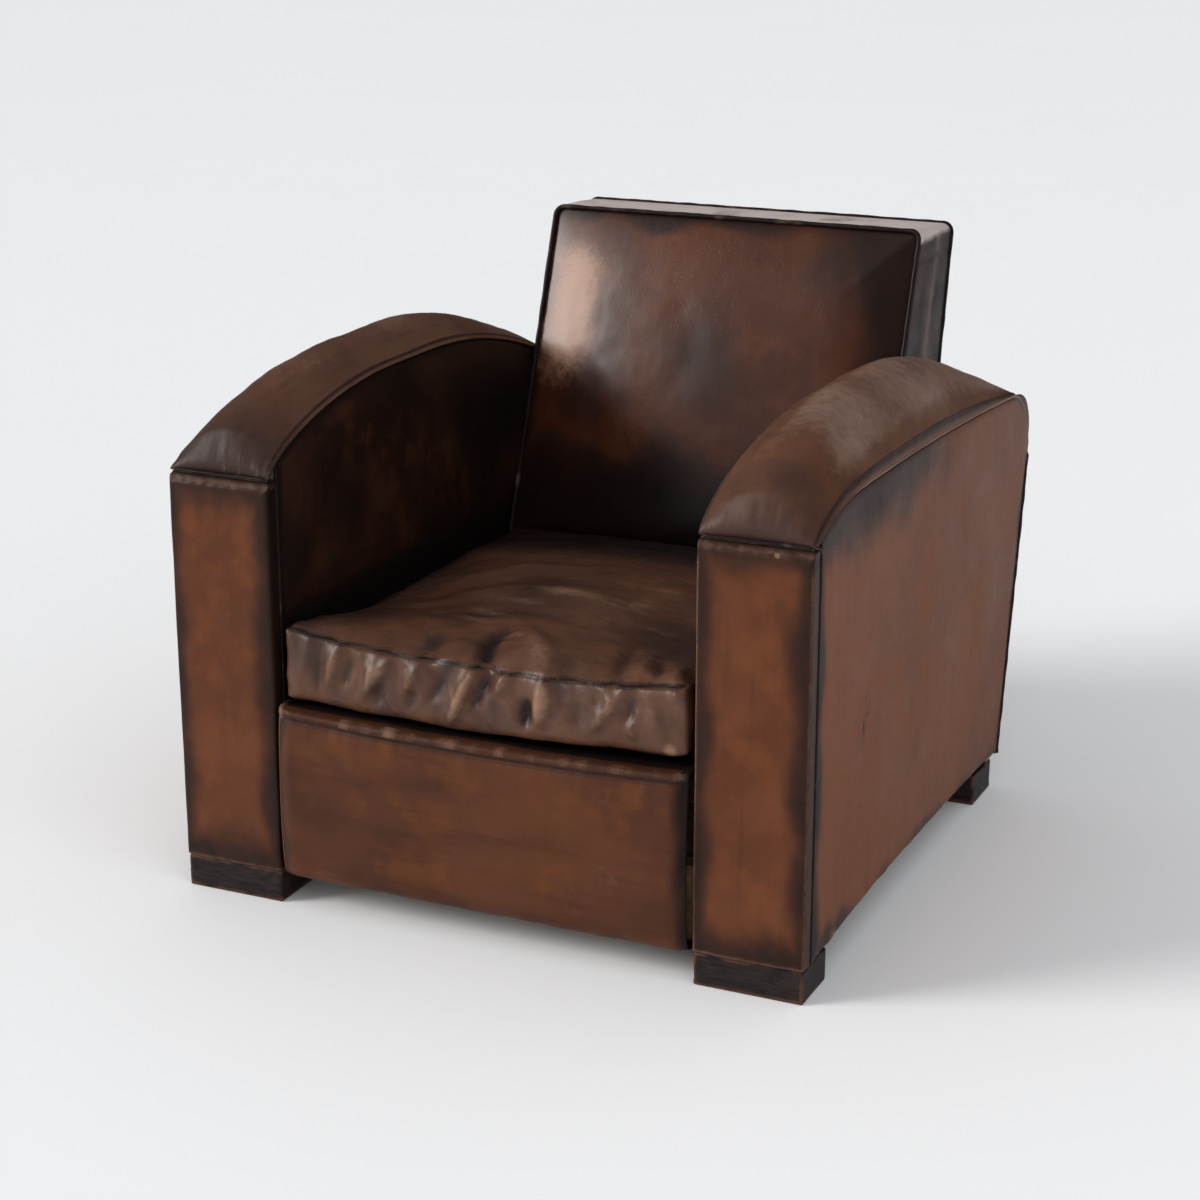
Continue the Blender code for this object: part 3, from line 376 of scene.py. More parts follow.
def coarseCloth(name, pale, dark, pitch):  # jute webbing and canvas
    cloth = Recipe(name)
    across = cloth.node("ShaderNodeTexWave", {"bands_direction": "X"}, {
        "Vector": cloth.place, "Scale": 0.314 / pitch, "Distortion": 1.5, "Detail": 2.0})
    along = cloth.node("ShaderNodeTexWave", {"bands_direction": "Y"}, {
        "Vector": cloth.place, "Scale": 0.314 / pitch, "Distortion": 1.5, "Detail": 2.0})
    weave = across * along
    stain = cloth.cloud(0.05)
    colour = cloth.mix(cloth.between(stain + weave * 0.3, 0.4, 0.9), dark, pale)
    cloth.set(Base_Color=colour, Roughness=0.95)
    cloth.bump(weave, 0.7, 0.0008)
    return cloth.material


def hair(name):  # rubberised horsehair stuffing
    mat = Recipe(name)
    strands = mat.cloud(0.006, 6.0, 0.75, None, 3.0)
    mat.set(Base_Color=mat.mix(strands, (0.025, 0.017, 0.012), (0.15, 0.11, 0.07)), Roughness=0.95)
    mat.bump(strands, 0.9, 0.003)
    return mat.material


def steel(name):
    wire = Recipe(name)
    rust = wire.cloud(0.012, 5.0, 0.7)
    share = wire.between(rust, 0.45, 0.65)
    wire.set(Base_Color=wire.mix(share, (0.42, 0.41, 0.39), (0.14, 0.065, 0.035)),
             Roughness=0.35 + share * 0.4, Metallic=1 - share * 0.8)
    wire.bump(rust, 0.3, 0.0003)
    return wire.material


# Making pieces

def sheetGrid(us, vs, place):  # an open sheet whose grid lines are placed by a function
    shape = bmesh.new()
    bmesh.ops.create_grid(shape, x_segments=len(us) - 1, y_segments=len(vs) - 1, size=0.5)
    for vert in shape.verts:
        u = us[round((vert.co.x + 0.5) * (len(us) - 1))]
        v = vs[round((vert.co.y + 0.5) * (len(vs) - 1))]
        vert.co = place(u, v)
    return shape


def denseBox(counts):  # a closed box from 0 to 1 each way, cut into fine squares
    shape = bmesh.new()
    bmesh.ops.create_cube(shape, size=1.0)
    bmesh.ops.translate(shape, verts=shape.verts, vec=(0.5, 0.5, 0.5))
    for axis, count in enumerate(counts):
        along = [edge for edge in shape.edges
                 if abs(edge.verts[0].co[axis] - edge.verts[1].co[axis]) > 0.5]
        bmesh.ops.subdivide_edges(shape, edges=along, cuts=count - 1, use_grid_fill=True)
    return shape


def softBox(low, high, counts, radius):
    shape = denseBox(counts)
    for vert in shape.verts:
        share = [lerp(value, (1 - math.cos(math.pi * value)) / 2, 0.5) for value in vert.co]
        point = Vector([lerp(low[axis], high[axis], share[axis]) for axis in range(3)])
        core = Vector([clamp(point[axis], low[axis] + radius, high[axis] - radius) for axis in range(3)])
        vert.co = core + (point - core).normalized() * radius
    return shape


def cordMesh(points, radius, sides, uneven):
    curve = bpy.data.curves.new("cord", "CURVE")
    curve.dimensions = "3D"
    curve.bevel_depth = radius
    curve.bevel_resolution = sides // 4
    curve.use_fill_caps = True
    spline = curve.splines.new("POLY")
    spline.points.add(len(points) - 1)
    for index, (point, place) in enumerate(zip(spline.points, points)):
        point.co = (*place, 1)
        point.radius = 1 + uneven * ripple(place, 0.02, 5.0)
    guide = bpy.data.objects.new("cord", curve)
    scene.collection.objects.link(guide)
    mesh = bpy.data.meshes.new_from_object(guide.evaluated_get(bpy.context.evaluated_depsgraph_get()))
    shape = bmesh.new()
    shape.from_mesh(mesh)
    bmesh.ops.remove_doubles(shape, verts=shape.verts, dist=0.00002)
    bpy.data.objects.remove(guide, do_unlink=True)
    bpy.data.curves.remove(curve)
    bpy.data.meshes.remove(mesh)
    return shape


def faceOut(shape, outward=None):  # a closed shape by its volume, a sheet by the side it shows
    if outward is None:
        wrong = shape.calc_volume(signed=True) < 0
    else:
        shape.normal_update()
        wrong = sum((face.normal * face.calc_area()).dot(Vector(outward)) for face in shape.faces) < 0
    if wrong:
        bmesh.ops.reverse_faces(shape, faces=shape.faces)


def addPiece(name, shape, material, nodes=(), paint=None, outward=None, wall=0.0):
    faceOut(shape, outward)
    # two painted values: a darkening one (patina, and painted shade) and a lightening one (wear, and painted
    # highlights)
    patinaAndShade = shape.verts.layers.float.new("patinaAndShade")
    scuffAndHighlight = shape.verts.layers.float.new("scuffAndHighlight")
    for vert in shape.verts:
        if paint:
            vert[patinaAndShade], vert[scuffAndHighlight] = paint(vert.co)
        vert.co.y += frontY
    mesh = bpy.data.meshes.new(name)
    shape.to_mesh(mesh)
    shape.free()
    mesh.shade_smooth()
    mesh.materials.append(material)
    piece = bpy.data.objects.new(name, mesh)
    scene.collection.objects.link(piece)
    if wall:
        hide = piece.modifiers.new("thickness", "SOLIDIFY")
        hide.thickness = wall
        hide.offset = -1
    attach(piece, "root")
    if nodes:
        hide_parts(*nodes)
    print("made", name)


def stitchRow(name, points, pitch, length, radius):  # points lie on the finished surface
    shape = bmesh.new()
    distance, target = 0.0, pitch
    for before, after in zip(points, points[1:]):
        step = (after - before).length
        while distance + step > target:
            middle = before.lerp(after, (target - distance) / step)
            turn = (after - before).to_track_quat("Z", "Y").to_matrix().to_4x4()
            turn.translation = middle
            bmesh.ops.create_cone(shape, cap_ends=True, segments=6, radius1=radius, radius2=radius,
                                  depth=length, matrix=turn)
            target += pitch
        distance += step
    addPiece(name, shape, darkThread)


def mirrored(side, point):
    return Vector((point[0] * side, point[1], point[2]))


# Arm fronts

facing = {
    "round": 0.0035, "slope": 0.011, "bow": 0.0012, "unevenness": 0.0010,
    "darkEdge": 0.036, "edgeShade": 0.78, "footCrumple": 0.0012, "topCrumple": 0.0016,
}


def facingPaint(side, point):
    x = point.x * side
    fromInner, fromOuter = x - armInner, form["halfWidth"] - x
    fromTop, fromFoot = form["facingTop"] - point.z, point.z - form["frameBottom"]
    wander = ripple(point, 0.07, 3.0 + side) * 0.012 + ripple(point, 0.014, 8.0) * 0.003
    nearest = min(fromInner, fromOuter, fromTop * (0.75 if side > 0 else 0.55), fromFoot * 0.45) + wander
    dark = facing["edgeShade"] * near(nearest, facing["darkEdge"])
    # painted shade: the facing's sides and back, which sit in the gaps beside and behind it, are painted
    # near-black
    if point.y > 0.006:
        dark = max(dark, 0.9)
    # pale rims along the rounded edges: rubbed wear with a painted highlight
    rim = hump(fromInner, 0.0030) if side > 0 else 0.5 * hump(fromOuter, 0.0025)
    rim = max(rim, 0.6 * hump(fromOuter - 0.001, 0.0022) * (side > 0))
    wearAndHighlight = 0.85 * rim * smoothstep((0.515 - point.z) / 0.02)
    # the sloping top band is painted paler as a painted highlight; the band at the foot is rubbed wear
    wearAndHighlight = max(wearAndHighlight, 0.45 * hump(fromTop - 0.006, 0.005), 0.55 * hump(fromFoot - 0.002, 0.004))
    pit = spot((x, point.z), (0.359, 0.514), 0.0018) if side > 0 else 0.0
    return dark * (1 - 0.5 * wearAndHighlight), max(wearAndHighlight, 2.4 * pit)


for word, lower, side in sides:
    box = softBox((armInner, 0, form["frameBottom"]),
                  (form["halfWidth"], form["facingDepth"], form["facingTop"]), (40, 8, 120), facing["round"])
    for vert in box.verts:
        over = vert.co.z - (form["facingTop"] - facing["slope"]) - 1.6 * vert.co.y
        if over > 0:
            vert.co.z -= over * 0.4
            vert.co.y += over * 0.35
        vert.co.x *= side
        fromEdge = min(abs(vert.co.x) - armInner, form["halfWidth"] - abs(vert.co.x))
        front = near(vert.co.y, 0.012)
        lift = facing["bow"] * smoothstep(fromEdge / 0.03)
        lift += facing["unevenness"] * ripple(vert.co, 0.06, side)
        atFoot = hump(vert.co.z - form["frameBottom"], 0.02)
        lift += facing["footCrumple"] * crumple(vert.co, 0.02, side) * atFoot
        band = hump(vert.co.z - (form["facingTop"] - 0.006), 0.006)
        lift += facing["topCrumple"] * band * crumple((vert.co.x, vert.co.z, 0), 0.012, 4.0 + side)
        vert.co.y -= lift * front
    addPiece("facing" + word, box, leathers["facing"], [f"facing_leather_{lower}"],
             lambda point, side=side: facingPaint(side, point))

# Arm tops: crowned pads with puckers where they are gathered to the piping

armTop = {"lift": 0.0009, "pucker": 0.0015, "puckerReach": 0.018, "seamFold": 0.0008, "fill": 0.8}


def armTopPoint(side, across, depth):
    step = 0.001
    point = armSurface(across, depth)
    behind = armSurface(across, min(depth + step, armEnd))
    along = behind - armSurface(across, max(depth - step, form["noseSetback"]))
    wide = armSurface(min(1.0, across + 0.01), depth) - armSurface(max(0.0, across - 0.01), depth)
    normal = wide.cross(along).normalized()
    inside = min(across, 1 - across) * form["armWidth"]
    free = smoothstep(inside / 0.012) * smoothstep((depth - form["noseSetback"]) / 0.006)
    world = mirrored(side, point)
    lift = armTop["lift"] * (1 + 2 * ripple(world, 0.07, 2.0) + 0.8 * ripple(world, 0.022, 6.0))
    fromNose = depth - form["noseSetback"]
    gather = crumple((across * form["armWidth"], fromNose * 0.25, side * 3.0), 0.011)
    lift += armTop["pucker"] * gather * math.exp(-fromNose / armTop["puckerReach"])
    ridge = armTop["seamFold"] * hump(inside - 0.0045, 0.0025)
    return world + mirrored(side, normal) * (lift * free + ridge * smoothstep(fromNose / 0.01))


def armTopPaint(side, point):
    across = (point.x * side - armInner) / form["armWidth"]
    inside = min(across, 1 - across) * form["armWidth"]
    fromNose = point.y - form["noseSetback"]
    # painted shade: a dark line in the groove just inside each seam cord
    dark = 0.8 * hump(inside - 0.0028, 0.0012)
    dark = max(dark, 0.50 * math.exp(-max(0.0, fromNose) / 0.045) + ripple(point, 0.06, 1.5) * 0.22)
    dark = max(dark, smoothstep((point.y - 0.66) / 0.16) * 0.30)
    if side > 0:  # a burn near the nose, and the flank beside the seat keeps its red
        dark = max(dark, 0.42 * spot((point.x, point.y), (0.345, 0.050), 0.045))
        scrape = spot((point.x, point.y * 0.35), (0.285, 0.130), 0.011)
    else:
        dark = max(dark, 0.12 + ripple(point, 0.12, 2.0) * 0.25, 0.62 * math.exp(-max(0.0, fromNose) / 0.10))
        scrape = 0.0
    # painted highlights on the ridges of the puckers at the nose
    gather = crumple((across * form["armWidth"], fromNose * 0.25, side * 3.0), 0.011)
    wearAndHighlight = 0.45 * clamp(gather * 1.6) * math.exp(-max(0.0, fromNose) / 0.016)
    faded = smoothstep((fromNose - 0.03) / 0.16) * smoothstep((across - 0.08) / 0.30)
    faded *= smoothstep(inside / 0.02) * (0.62 if side > 0 else 0.30)
    wearAndHighlight = max(wearAndHighlight, 0.75 * scrape, faded + 0.35 * ripple((point.x, point.y * 0.35, 0), 0.05, 4.0))
    return clamp(dark), clamp(wearAndHighlight)


for word, lower, side in sides:
    shape = sheetGrid(spread(0, 1, 64, 0.5), spread(form["noseSetback"], armEnd, 190, 0.55),
                      lambda across, depth, side=side: armTopPoint(side, across, depth))
    addPiece("armTop" + word, shape, leathers["armTop"], [f"arm_top_leather_{lower}"],
             lambda point, side=side: armTopPaint(side, point), (0, 0, 1), form["leather"])

# Outside arms: thin leather drawn over the frame, arched along the floor

sidePanel = {
    "weltGap": 0.0006, "bow": 0.0012, "unevenness": 0.0012, "hemFray": 0.0014, "scratchDepth": 0.0007,
    "tuck": 0.0018, "curl": 0.0022,
}
scratches = [[(0.184, 0.312), (0.175, 0.262), (0.173, 0.213)], [(0.199, 0.307), (0.181, 0.268)]]


def sideOutline(share):  # the top edge of the panel for a share of its length
    depth = lerp(form["facingDepth"] + form["gap"], armEnd - 0.0045, share)
    rise = outerSeam(min(depth + 0.0005, armEnd)) - outerSeam(depth - 0.0005)
    along = Vector((0.001, rise)).normalized()
    inset = form["seamFold"] * smoothstep(share * 60)
    top = outerSeam(depth) - lerp(form["seamFold"], along.x * form["seamFold"], smoothstep(share * 60))
    return depth + along.y * inset, top


def sidePoint(side, share, up):
    topDepth, topHeight = sideOutline(share)
    start = form["facingDepth"] + form["gap"]
    lowDepth = lerp(start, form["baseDepth"] - form["cover"], share)
    arch = form["sideArch"] * math.sin(math.pi * share) ** 0.5
    low = form["frameBottom"] + arch
    depth = min(lerp(lowDepth, topDepth, up), rearPlane(lerp(low, topHeight, up)) - form["cover"])
    height = lerp(low, topHeight, up)
    depth += (rearPlane(height) - sidePanel["weltGap"] - depth) * share ** 14  # meets the rear welt
    place = (side * form["halfWidth"], depth, height)
    height += sidePanel["hemFray"] * hump(height - low, 0.006) * crumple((depth, 0, side), 0.018)
    edge = min(share, 1 - share, up * 0.6, (1 - up) * 0.6)
    bow = sidePanel["bow"] * smoothstep(edge / 0.05)
    bow += sidePanel["unevenness"] * ripple(place, 0.10, 1.0) * smoothstep(edge / 0.02)
    tuck = sidePanel["tuck"] * hump((1 - up) * 0.45, 0.004)
    if side > 0:
        bow -= sidePanel["scratchDepth"] * max(fold(depth, height, line, 0.0012) for line in scratches)
    curl = sidePanel["curl"] * spot((depth, height), (0.085, 0.042), 0.016)
    return Vector((side * (form["halfWidth"] + bow - tuck + curl), depth, height))


def sidePaint(side, point):
    fromTop = outerSeam(clamp(point.y, 0.006, armEnd)) - point.z
    fromFront = point.y - form["facingDepth"]
    fromRear = rearPlane(point.z) - point.y
    fromHem = point.z - form["frameBottom"]
    wander = ripple(point, 0.09, 2.0) * 0.024 + ripple((point.x, point.y, point.z * 0.3), 0.02, 5.0) * 0.008
    dark = 0.95 * near(fromFront + wander * 0.6, 0.034)
    upper = near(fromTop + wander * 1.4 - 0.014, 0.088) * smoothstep((0.60 - point.y) / 0.30)
    dark = max(dark, 0.74 * upper, 0.45 * near(fromTop + wander, 0.022))
    dark = max(dark, 0.55 * near(fromRear + wander, 0.026))
    # darker towards the hem, and a painted shade line in the groove just under the seam cord at the top
    dark = max(dark, 0.62 * near(fromHem + wander, 0.034), 0.8 * hump(fromTop - 0.0045, 0.0014))
    wearAndHighlight = 0.10 + ripple(point, 0.11, 7.0) * 0.3
    if side > 0:
        line = max(fold(point.y, point.z, line, 0.0012) for line in scratches)
        dark = max(dark, 0.9 * line)
    wearAndHighlight = max(wearAndHighlight, 0.8 * spot((point.y, point.z), (0.090, 0.046), 0.016))
    return clamp(dark), clamp(wearAndHighlight)


for word, lower, side in sides:
    shape = sheetGrid(spread(0, 1, 150, 0.35), spread(0, 1, 110, 0.35),
                      lambda share, up, side=side: sidePoint(side, share, up))
    addPiece("outsideArm" + word, shape, leathers["side"], [f"outside_arm_leather_{lower}"],
             lambda point, side=side: sidePaint(side, point), (side, 0, 0), form["leather"])

# Inside arms, with painted shade: dark where they meet the cushion

insideArm = {
    "end": 0.700, "bottom": 0.200, "swell": 0.004, "swellStart": 0.345, "unevenness": 0.0009,
    "tuck": 0.0016, "fill": 0.7,
}


def insideArmPoint(side, depth, up):
    top = innerSeam(depth) - form["seamFold"]
    height = lerp(insideArm["bottom"], top, up)
    rising = smoothstep((height - insideArm["swellStart"]) / 0.05) * smoothstep((top - height) / 0.04)
    swell = insideArm["swell"] * rising * smoothstep((depth - form["facingDepth"]) / 0.05)
    swell += insideArm["unevenness"] * ripple((0, depth, height), 0.05, side) * rising
    tuck = insideArm["tuck"] * hump(top - height, 0.004)
    return Vector((side * (armInner - swell + tuck), depth, height))


def insideArmPaint(side, point):
    # painted shade: darker towards the back, under the arm top's seam, beside the facing and where the arm
    # meets the cushion
    dark = 0.20 + ripple(point, 0.10, 3.0) * 0.6 + 0.5 * smoothstep((point.y - 0.30) / 0.30)
    dark = max(dark, near(innerSeam(clamp(point.y, 0.006, 0.8)) - point.z, 0.02))
    dark = max(dark, near(point.y - form["facingDepth"], 0.02), near(point.z - 0.33, 0.05))
    return clamp(dark), 0.0


for word, lower, side in sides:
    shape = sheetGrid(spread(form["facingDepth"] + form["gap"], insideArm["end"], 120, 0.2),
                      spread(0, 1, 60, 0.3), lambda depth, up, side=side: insideArmPoint(side, depth, up))
    addPiece("insideArm" + word, shape, leathers["insideArm"],
             [f"inside_arm_leather_{lower}"], lambda point, side=side: insideArmPaint(side, point),
             (-side, 0, 0), form["leather"])

# Inside back: a domed pad whose sides meet in mitres at the top corners

insideBack = {
    "dome": 0.031, "mitre": 0.10, "mitreShare": 0.50, "unevenness": 0.0011, "crease": 0.00016,
    "fill": 0.9,
}
# Dents as (line, width, depth), drawn as x and height
backDents = [
    ([(0.150, 0.470), (0.172, 0.452), (0.190, 0.462)], 0.006, 0.0016),
    ([(0.110, 0.452), (0.140, 0.438), (0.168, 0.440)], 0.005, 0.0012),
    ([(-0.195, 0.560), (-0.150, 0.480), (-0.160, 0.420)], 0.020, 0.0016),
    ([(-0.060, 0.640), (-0.020, 0.560), (-0.050, 0.500)], 0.024, 0.0012),
]


def padHalf(height):
    radius = form["backCorner"] - form["cover"]
    past = clamp(height - (form["backHeight"] - form["cover"] - radius), 0.0, radius)
    return form["backFrontHalf"] - form["cover"] - radius + math.sqrt(max(0.0, radius ** 2 - past ** 2))


def insideBackDome(x, height):
    half, top = padHalf(height), form["backHeight"] - form["cover"]
    across = clamp((x + half) / (2 * half))
    up = clamp((height - form["domeStart"]) / (top - form["domeStart"]))
    smooth = max(0.0, math.sin(math.pi * across)) ** 0.72 * max(0.0, math.sin(math.pi * up)) ** 0.5
    fromEdge = min(half - abs(x), (top - height) * 1.1, (height - form["domeStart"]) * 0.9)
    mitred = math.sin(math.pi / 2 * clamp(fromEdge / insideBack["mitre"])) ** 0.9
    return lerp(smooth, mitred, insideBack["mitreShare"] * smoothstep((x + 0.02) / 0.20))


def insideBackPoint(across, height):
    x = across * padHalf(height)
    dome = insideBackDome(x, height)
    place = (x, 0, height)
    lift = insideBack["dome"] * dome
    lift += insideBack["unevenness"] * dome * (ripple(place, 0.11, 1.0) + 0.35 * ripple(place, 0.03, 4.0))
    lift += insideBack["crease"] * dome * crumple((x * 2.0, 0, height), 0.020, 2.0)
    for line, width, depth in backDents:
        lift -= depth * fold(x, height, line, width)
    return Vector((x, backPlane(height) - max(0.0, lift), height))


def insideBackPaint(point):
    top = form["backHeight"] - form["cover"]
    fromSide, fromTop = padHalf(point.z) - abs(point.x), top - point.z
    wander = ripple(point, 0.07, 6.0) * 0.020
    dark = 0.62 * near(min(fromSide, fromTop) + wander, 0.030)
    # darker towards the bottom, where the back meets the cushion and arms: painted shade with patina
    dark = max(dark, 0.80 * near(point.z - 0.385 + wander * 2, 0.10))
    # painted shade on the right side, beyond a diagonal from the top right corner, where the dome turns from
    # the light
    shadedRightSide = point.x - 0.115 - 0.45 * (0.735 - point.z) + 0.25 * max(0.0, 0.60 - point.z)
    dark = max(dark, 0.72 * smoothstep((shadedRightSide + wander * 2) / 0.07))
    dark = max(dark, 0.12 + ripple(point, 0.12, 3.0) * 0.5)
    # a painted highlight down the left side and a painted sheen left of the middle, both lightening the
    # leather
    upright = smoothstep((point.z - 0.45) / 0.14) * smoothstep((0.72 - point.z) / 0.07)
    rubbingAndHighlight = 0.95 * hump(point.x + 0.215, 0.048) * upright
    paintedSheen = 0.25 * spot((point.x, point.z * 0.8), (-0.125, 0.448), 0.060)
    return clamp(dark * (1 - 0.8 * rubbingAndHighlight)), clamp(max(rubbingAndHighlight, paintedSheen) + ripple(point, 0.05, 3.0) * 0.2)


heights = [form["backBottom"]]
heights += spread(form["domeStart"] - 0.02, form["backHeight"] - form["cover"], 120, 0.4)
shape = sheetGrid([math.sin(math.pi / 2 * share) for share in spread(-1, 1, 130)], heights, insideBackPoint)
addPiece("insideBack", shape, leathers["insideBack"], ["inside_back_leather"],
         insideBackPaint, (0, -1, 0), form["leather"])

# Back border, welts and the outside back

def cornerArc(x, height, radius, start, end, steps):
    angles = [math.radians(angle) for angle in spread(start, end, steps)]
    return [(x + radius * math.cos(angle), height + radius * math.sin(angle)) for angle in angles]


def backPath(half, top, radius, bottom):  # up one side, round the corners and down the other
    right = [(half, height) for height in spread(bottom, top - radius, 80)]
    right += cornerArc(half - radius, top - radius, radius, 0, 90, 8)[1:]
    level = [(x, top) for x in spread(half - radius, radius - half, 84)][1:-1]
    return right + level + [(-x, height) for x, height in reversed(right)]


border = {"bow": 0.0012, "unevenness": 0.0010, "crossSeam": 0.700, "seamWidth": 0.0022, "seamDepth": 0.0012}
frontPath = backPath(form["backFrontHalf"], form["backHeight"], form["backCorner"], form["backBottom"])
rearPath = backPath(form["backRearHalf"], form["backRearTop"], form["backCorner"], form["backBottom"])


def borderPoint(index, share):
    x, height = Vector(frontPath[index]).lerp(Vector(rearPath[index]), share)
    start = backPlane(height) + 0.0005
    depth = lerp(start, rearPlane(height) - form["cover"], share)
    belly = math.sin(math.pi * share)
    swell = border["bow"] * belly + border["unevenness"] * ripple((x, depth, height), 0.035, 2.0) * belly
    swell -= border["seamDepth"] * hump(height - border["crossSeam"] + 0.010 * share, border["seamWidth"])
    outward = Vector((math.copysign(smoothstep((abs(x) - 0.245) / 0.012), x),
                      0, smoothstep((height - 0.722) / 0.008)))
    if outward.length > 0:
        outward.normalize()
    return Vector((x, depth, height)) + outward * swell


def borderPaint(point):
    # the top strip is painted pale as a painted highlight; the sides are painted darker than the top
    onTop = smoothstep((point.z - 0.722) / 0.006)
    frontEdge, rearEdge = point.y - backPlane(point.z), rearPlane(point.z) - point.y
    dark = 0.85 * max(hump(frontEdge, 0.0045), hump(rearEdge - 0.002, 0.006))
    stripe = hump(point.y - lerp(backPlane(point.z), rearPlane(point.z), 0.55), 0.010)
    flank = 0.72 - 0.45 * stripe + ripple(point, 0.04, 2.0) * 0.4
    crossSeam = 0.9 * hump(point.z - border["crossSeam"] + 0.004, 0.002)
    dark = max(dark, max(flank, crossSeam) * (1 - onTop))
    wearAndHighlight = onTop * (0.88 + ripple(point, 0.05, 4.0) * 0.35)
    corner = spot((point.x, point.z), (0.258, 0.728), 0.012)
    return clamp(dark - onTop * 0.45), clamp(max(wearAndHighlight, 1.2 * corner, 0.30 * stripe * (1 - onTop)))


shape = sheetGrid(list(range(len(frontPath))), spread(0, 1, 20), borderPoint)
addPiece("backBorder", shape, leathers["border"], ["back_border_leather"],
         borderPaint, (0, 0, 1), 0.0018)


def rearOutline(inset, armCorner, corner, step):  # wide below the arm tops, then as wide as the back
    wide, narrow = form["halfWidth"] - inset, form["backRearHalf"] - inset
    shoulder = form["armRearHeight"] - form["gap"] - inset
    top = form["backRearTop"] - inset
    lower = spread(form["frameBottom"], shoulder - armCorner, round(0.38 / step))
    right = [(wide, height) for height in lower]
    right += cornerArc(wide - armCorner, shoulder - armCorner, armCorner, 0, 90, 6)[1:]
    right += [(x, shoulder) for x in spread(wide - armCorner, narrow, round(0.12 / step))][1:]
    right += [(narrow, height) for height in spread(shoulder, top - corner, round(0.27 / step))][1:]
    right += cornerArc(narrow - corner, top - corner, corner, 0, 90, 8)[1:]
    level = [(x, top) for x in spread(narrow - corner, corner - narrow, round(0.5 / step))][1:-1]
    return right + level + [(-x, height) for x, height in reversed(right)]


welts = {
    "front": 0.0031, "rear": 0.0038, "rearInset": 0.0014, "rearProud": 0.003, "rearWaver": 0.0007,
    "rearCorner": 0.006, "arm": 0.0016, "armWaver": 0.0006, "uneven": 0.25,
}


def weltPaint(point):
    return 0.3, clamp(ripple(point, 0.02, 6.0) * 1.1)


frontWelt = [(x, backPlane(height) - welts["front"] - form["gap"], height)
             for x, height in backPath(form["backFrontHalf"] - 0.0012, form["backHeight"] - 0.0012,
                                       form["backCorner"], form["backBottom"] + welts["front"])]
addPiece("insideBackWelt", cordMesh(frontWelt, welts["front"], 12, welts["uneven"]),
         leathers["piping"], ["inside_back_welt"], weltPaint)
rearWelt = []
for x, height in rearOutline(welts["rearInset"], welts["rearCorner"], form["backCorner"], 0.008):
    waver = welts["rearWaver"] * ripple((x, 0, height), 0.03)
    rearWelt.append((x, rearPlane(height) + welts["rearProud"] + waver, height))
addPiece("rearWelt", cordMesh(rearWelt, welts["rear"], 12, welts["uneven"]),
         leathers["piping"], ["rear_welt"], weltPaint)

outsideBack = {"bow": 0.0014, "unevenness": 0.0012, "inset": 0.0048, "cell": 0.0065}


def outsideBackShape():
    inset = outsideBack["inset"]
    wide, narrow = form["halfWidth"] - inset, form["backRearHalf"] - inset
    shoulder, top = form["armRearHeight"] - form["gap"] - inset, form["backRearTop"] - inset
    outer = spread(narrow, wide, round((wide - narrow) / outsideBack["cell"]))
    inner = spread(-narrow, narrow, round(2 * narrow / outsideBack["cell"]))
    columns = [-x for x in reversed(outer)][:-1] + inner + outer[1:]
    rows = spread(form["frameBottom"], shoulder, 60) + spread(shoulder, top, 44)[1:]
    shape = sheetGrid(columns, rows, lambda x, height: Vector((x, 0, height)))
    spare = [face for face in shape.faces
             if face.calc_center_median().z > shoulder and abs(face.calc_center_median().x) > narrow]
    bmesh.ops.delete(shape, geom=spare, context="FACES")
    corners = [(wide, shoulder, form["backCorner"] / 2), (narrow, top, form["backCorner"])]
    for vert in shape.verts:
        for cornerX, cornerZ, radius in corners:
            past = Vector((abs(vert.co.x) - cornerX + radius, vert.co.z - cornerZ + radius))
            there = past.x > 0 and past.y > 0 and past.length > radius
            if there and (cornerX == wide or vert.co.z > shoulder):
                past = past.normalized() * radius
                vert.co.x = math.copysign(cornerX - radius + past.x, vert.co.x)
                vert.co.z = cornerZ - radius + past.y
        swell = outsideBack["bow"] * (1 - (abs(vert.co.x) / wide) ** 4)
        swell += outsideBack["unevenness"] * ripple(vert.co, 0.12, 2.0)
        vert.co.y = rearPlane(vert.co.z) + max(0.0, swell)
    return shape


def outsideBackPaint(point):
    edge = min(form["halfWidth"] - abs(point.x), point.z - form["frameBottom"], form["backRearTop"] - point.z)
    if point.z > form["armRearHeight"]:
        edge = min(edge, form["backRearHalf"] - abs(point.x))
    dark = 0.9 * near(edge + ripple(point, 0.05, 1.0) * 0.02, 0.05)
    dark = max(dark, 0.26 + ripple(point, 0.14, 4.0) * 0.34)
    return clamp(dark), clamp(0.06 + ripple(point, 0.10, 2.0) * 0.25)


addPiece("outsideBack", outsideBackShape(), leathers["outsideBack"],
         ["outside_back_leather"], outsideBackPaint, (0, 1, 0), form["leather"])

# Piping across each arm front and down both its sides, and the folded seams along the arm tops

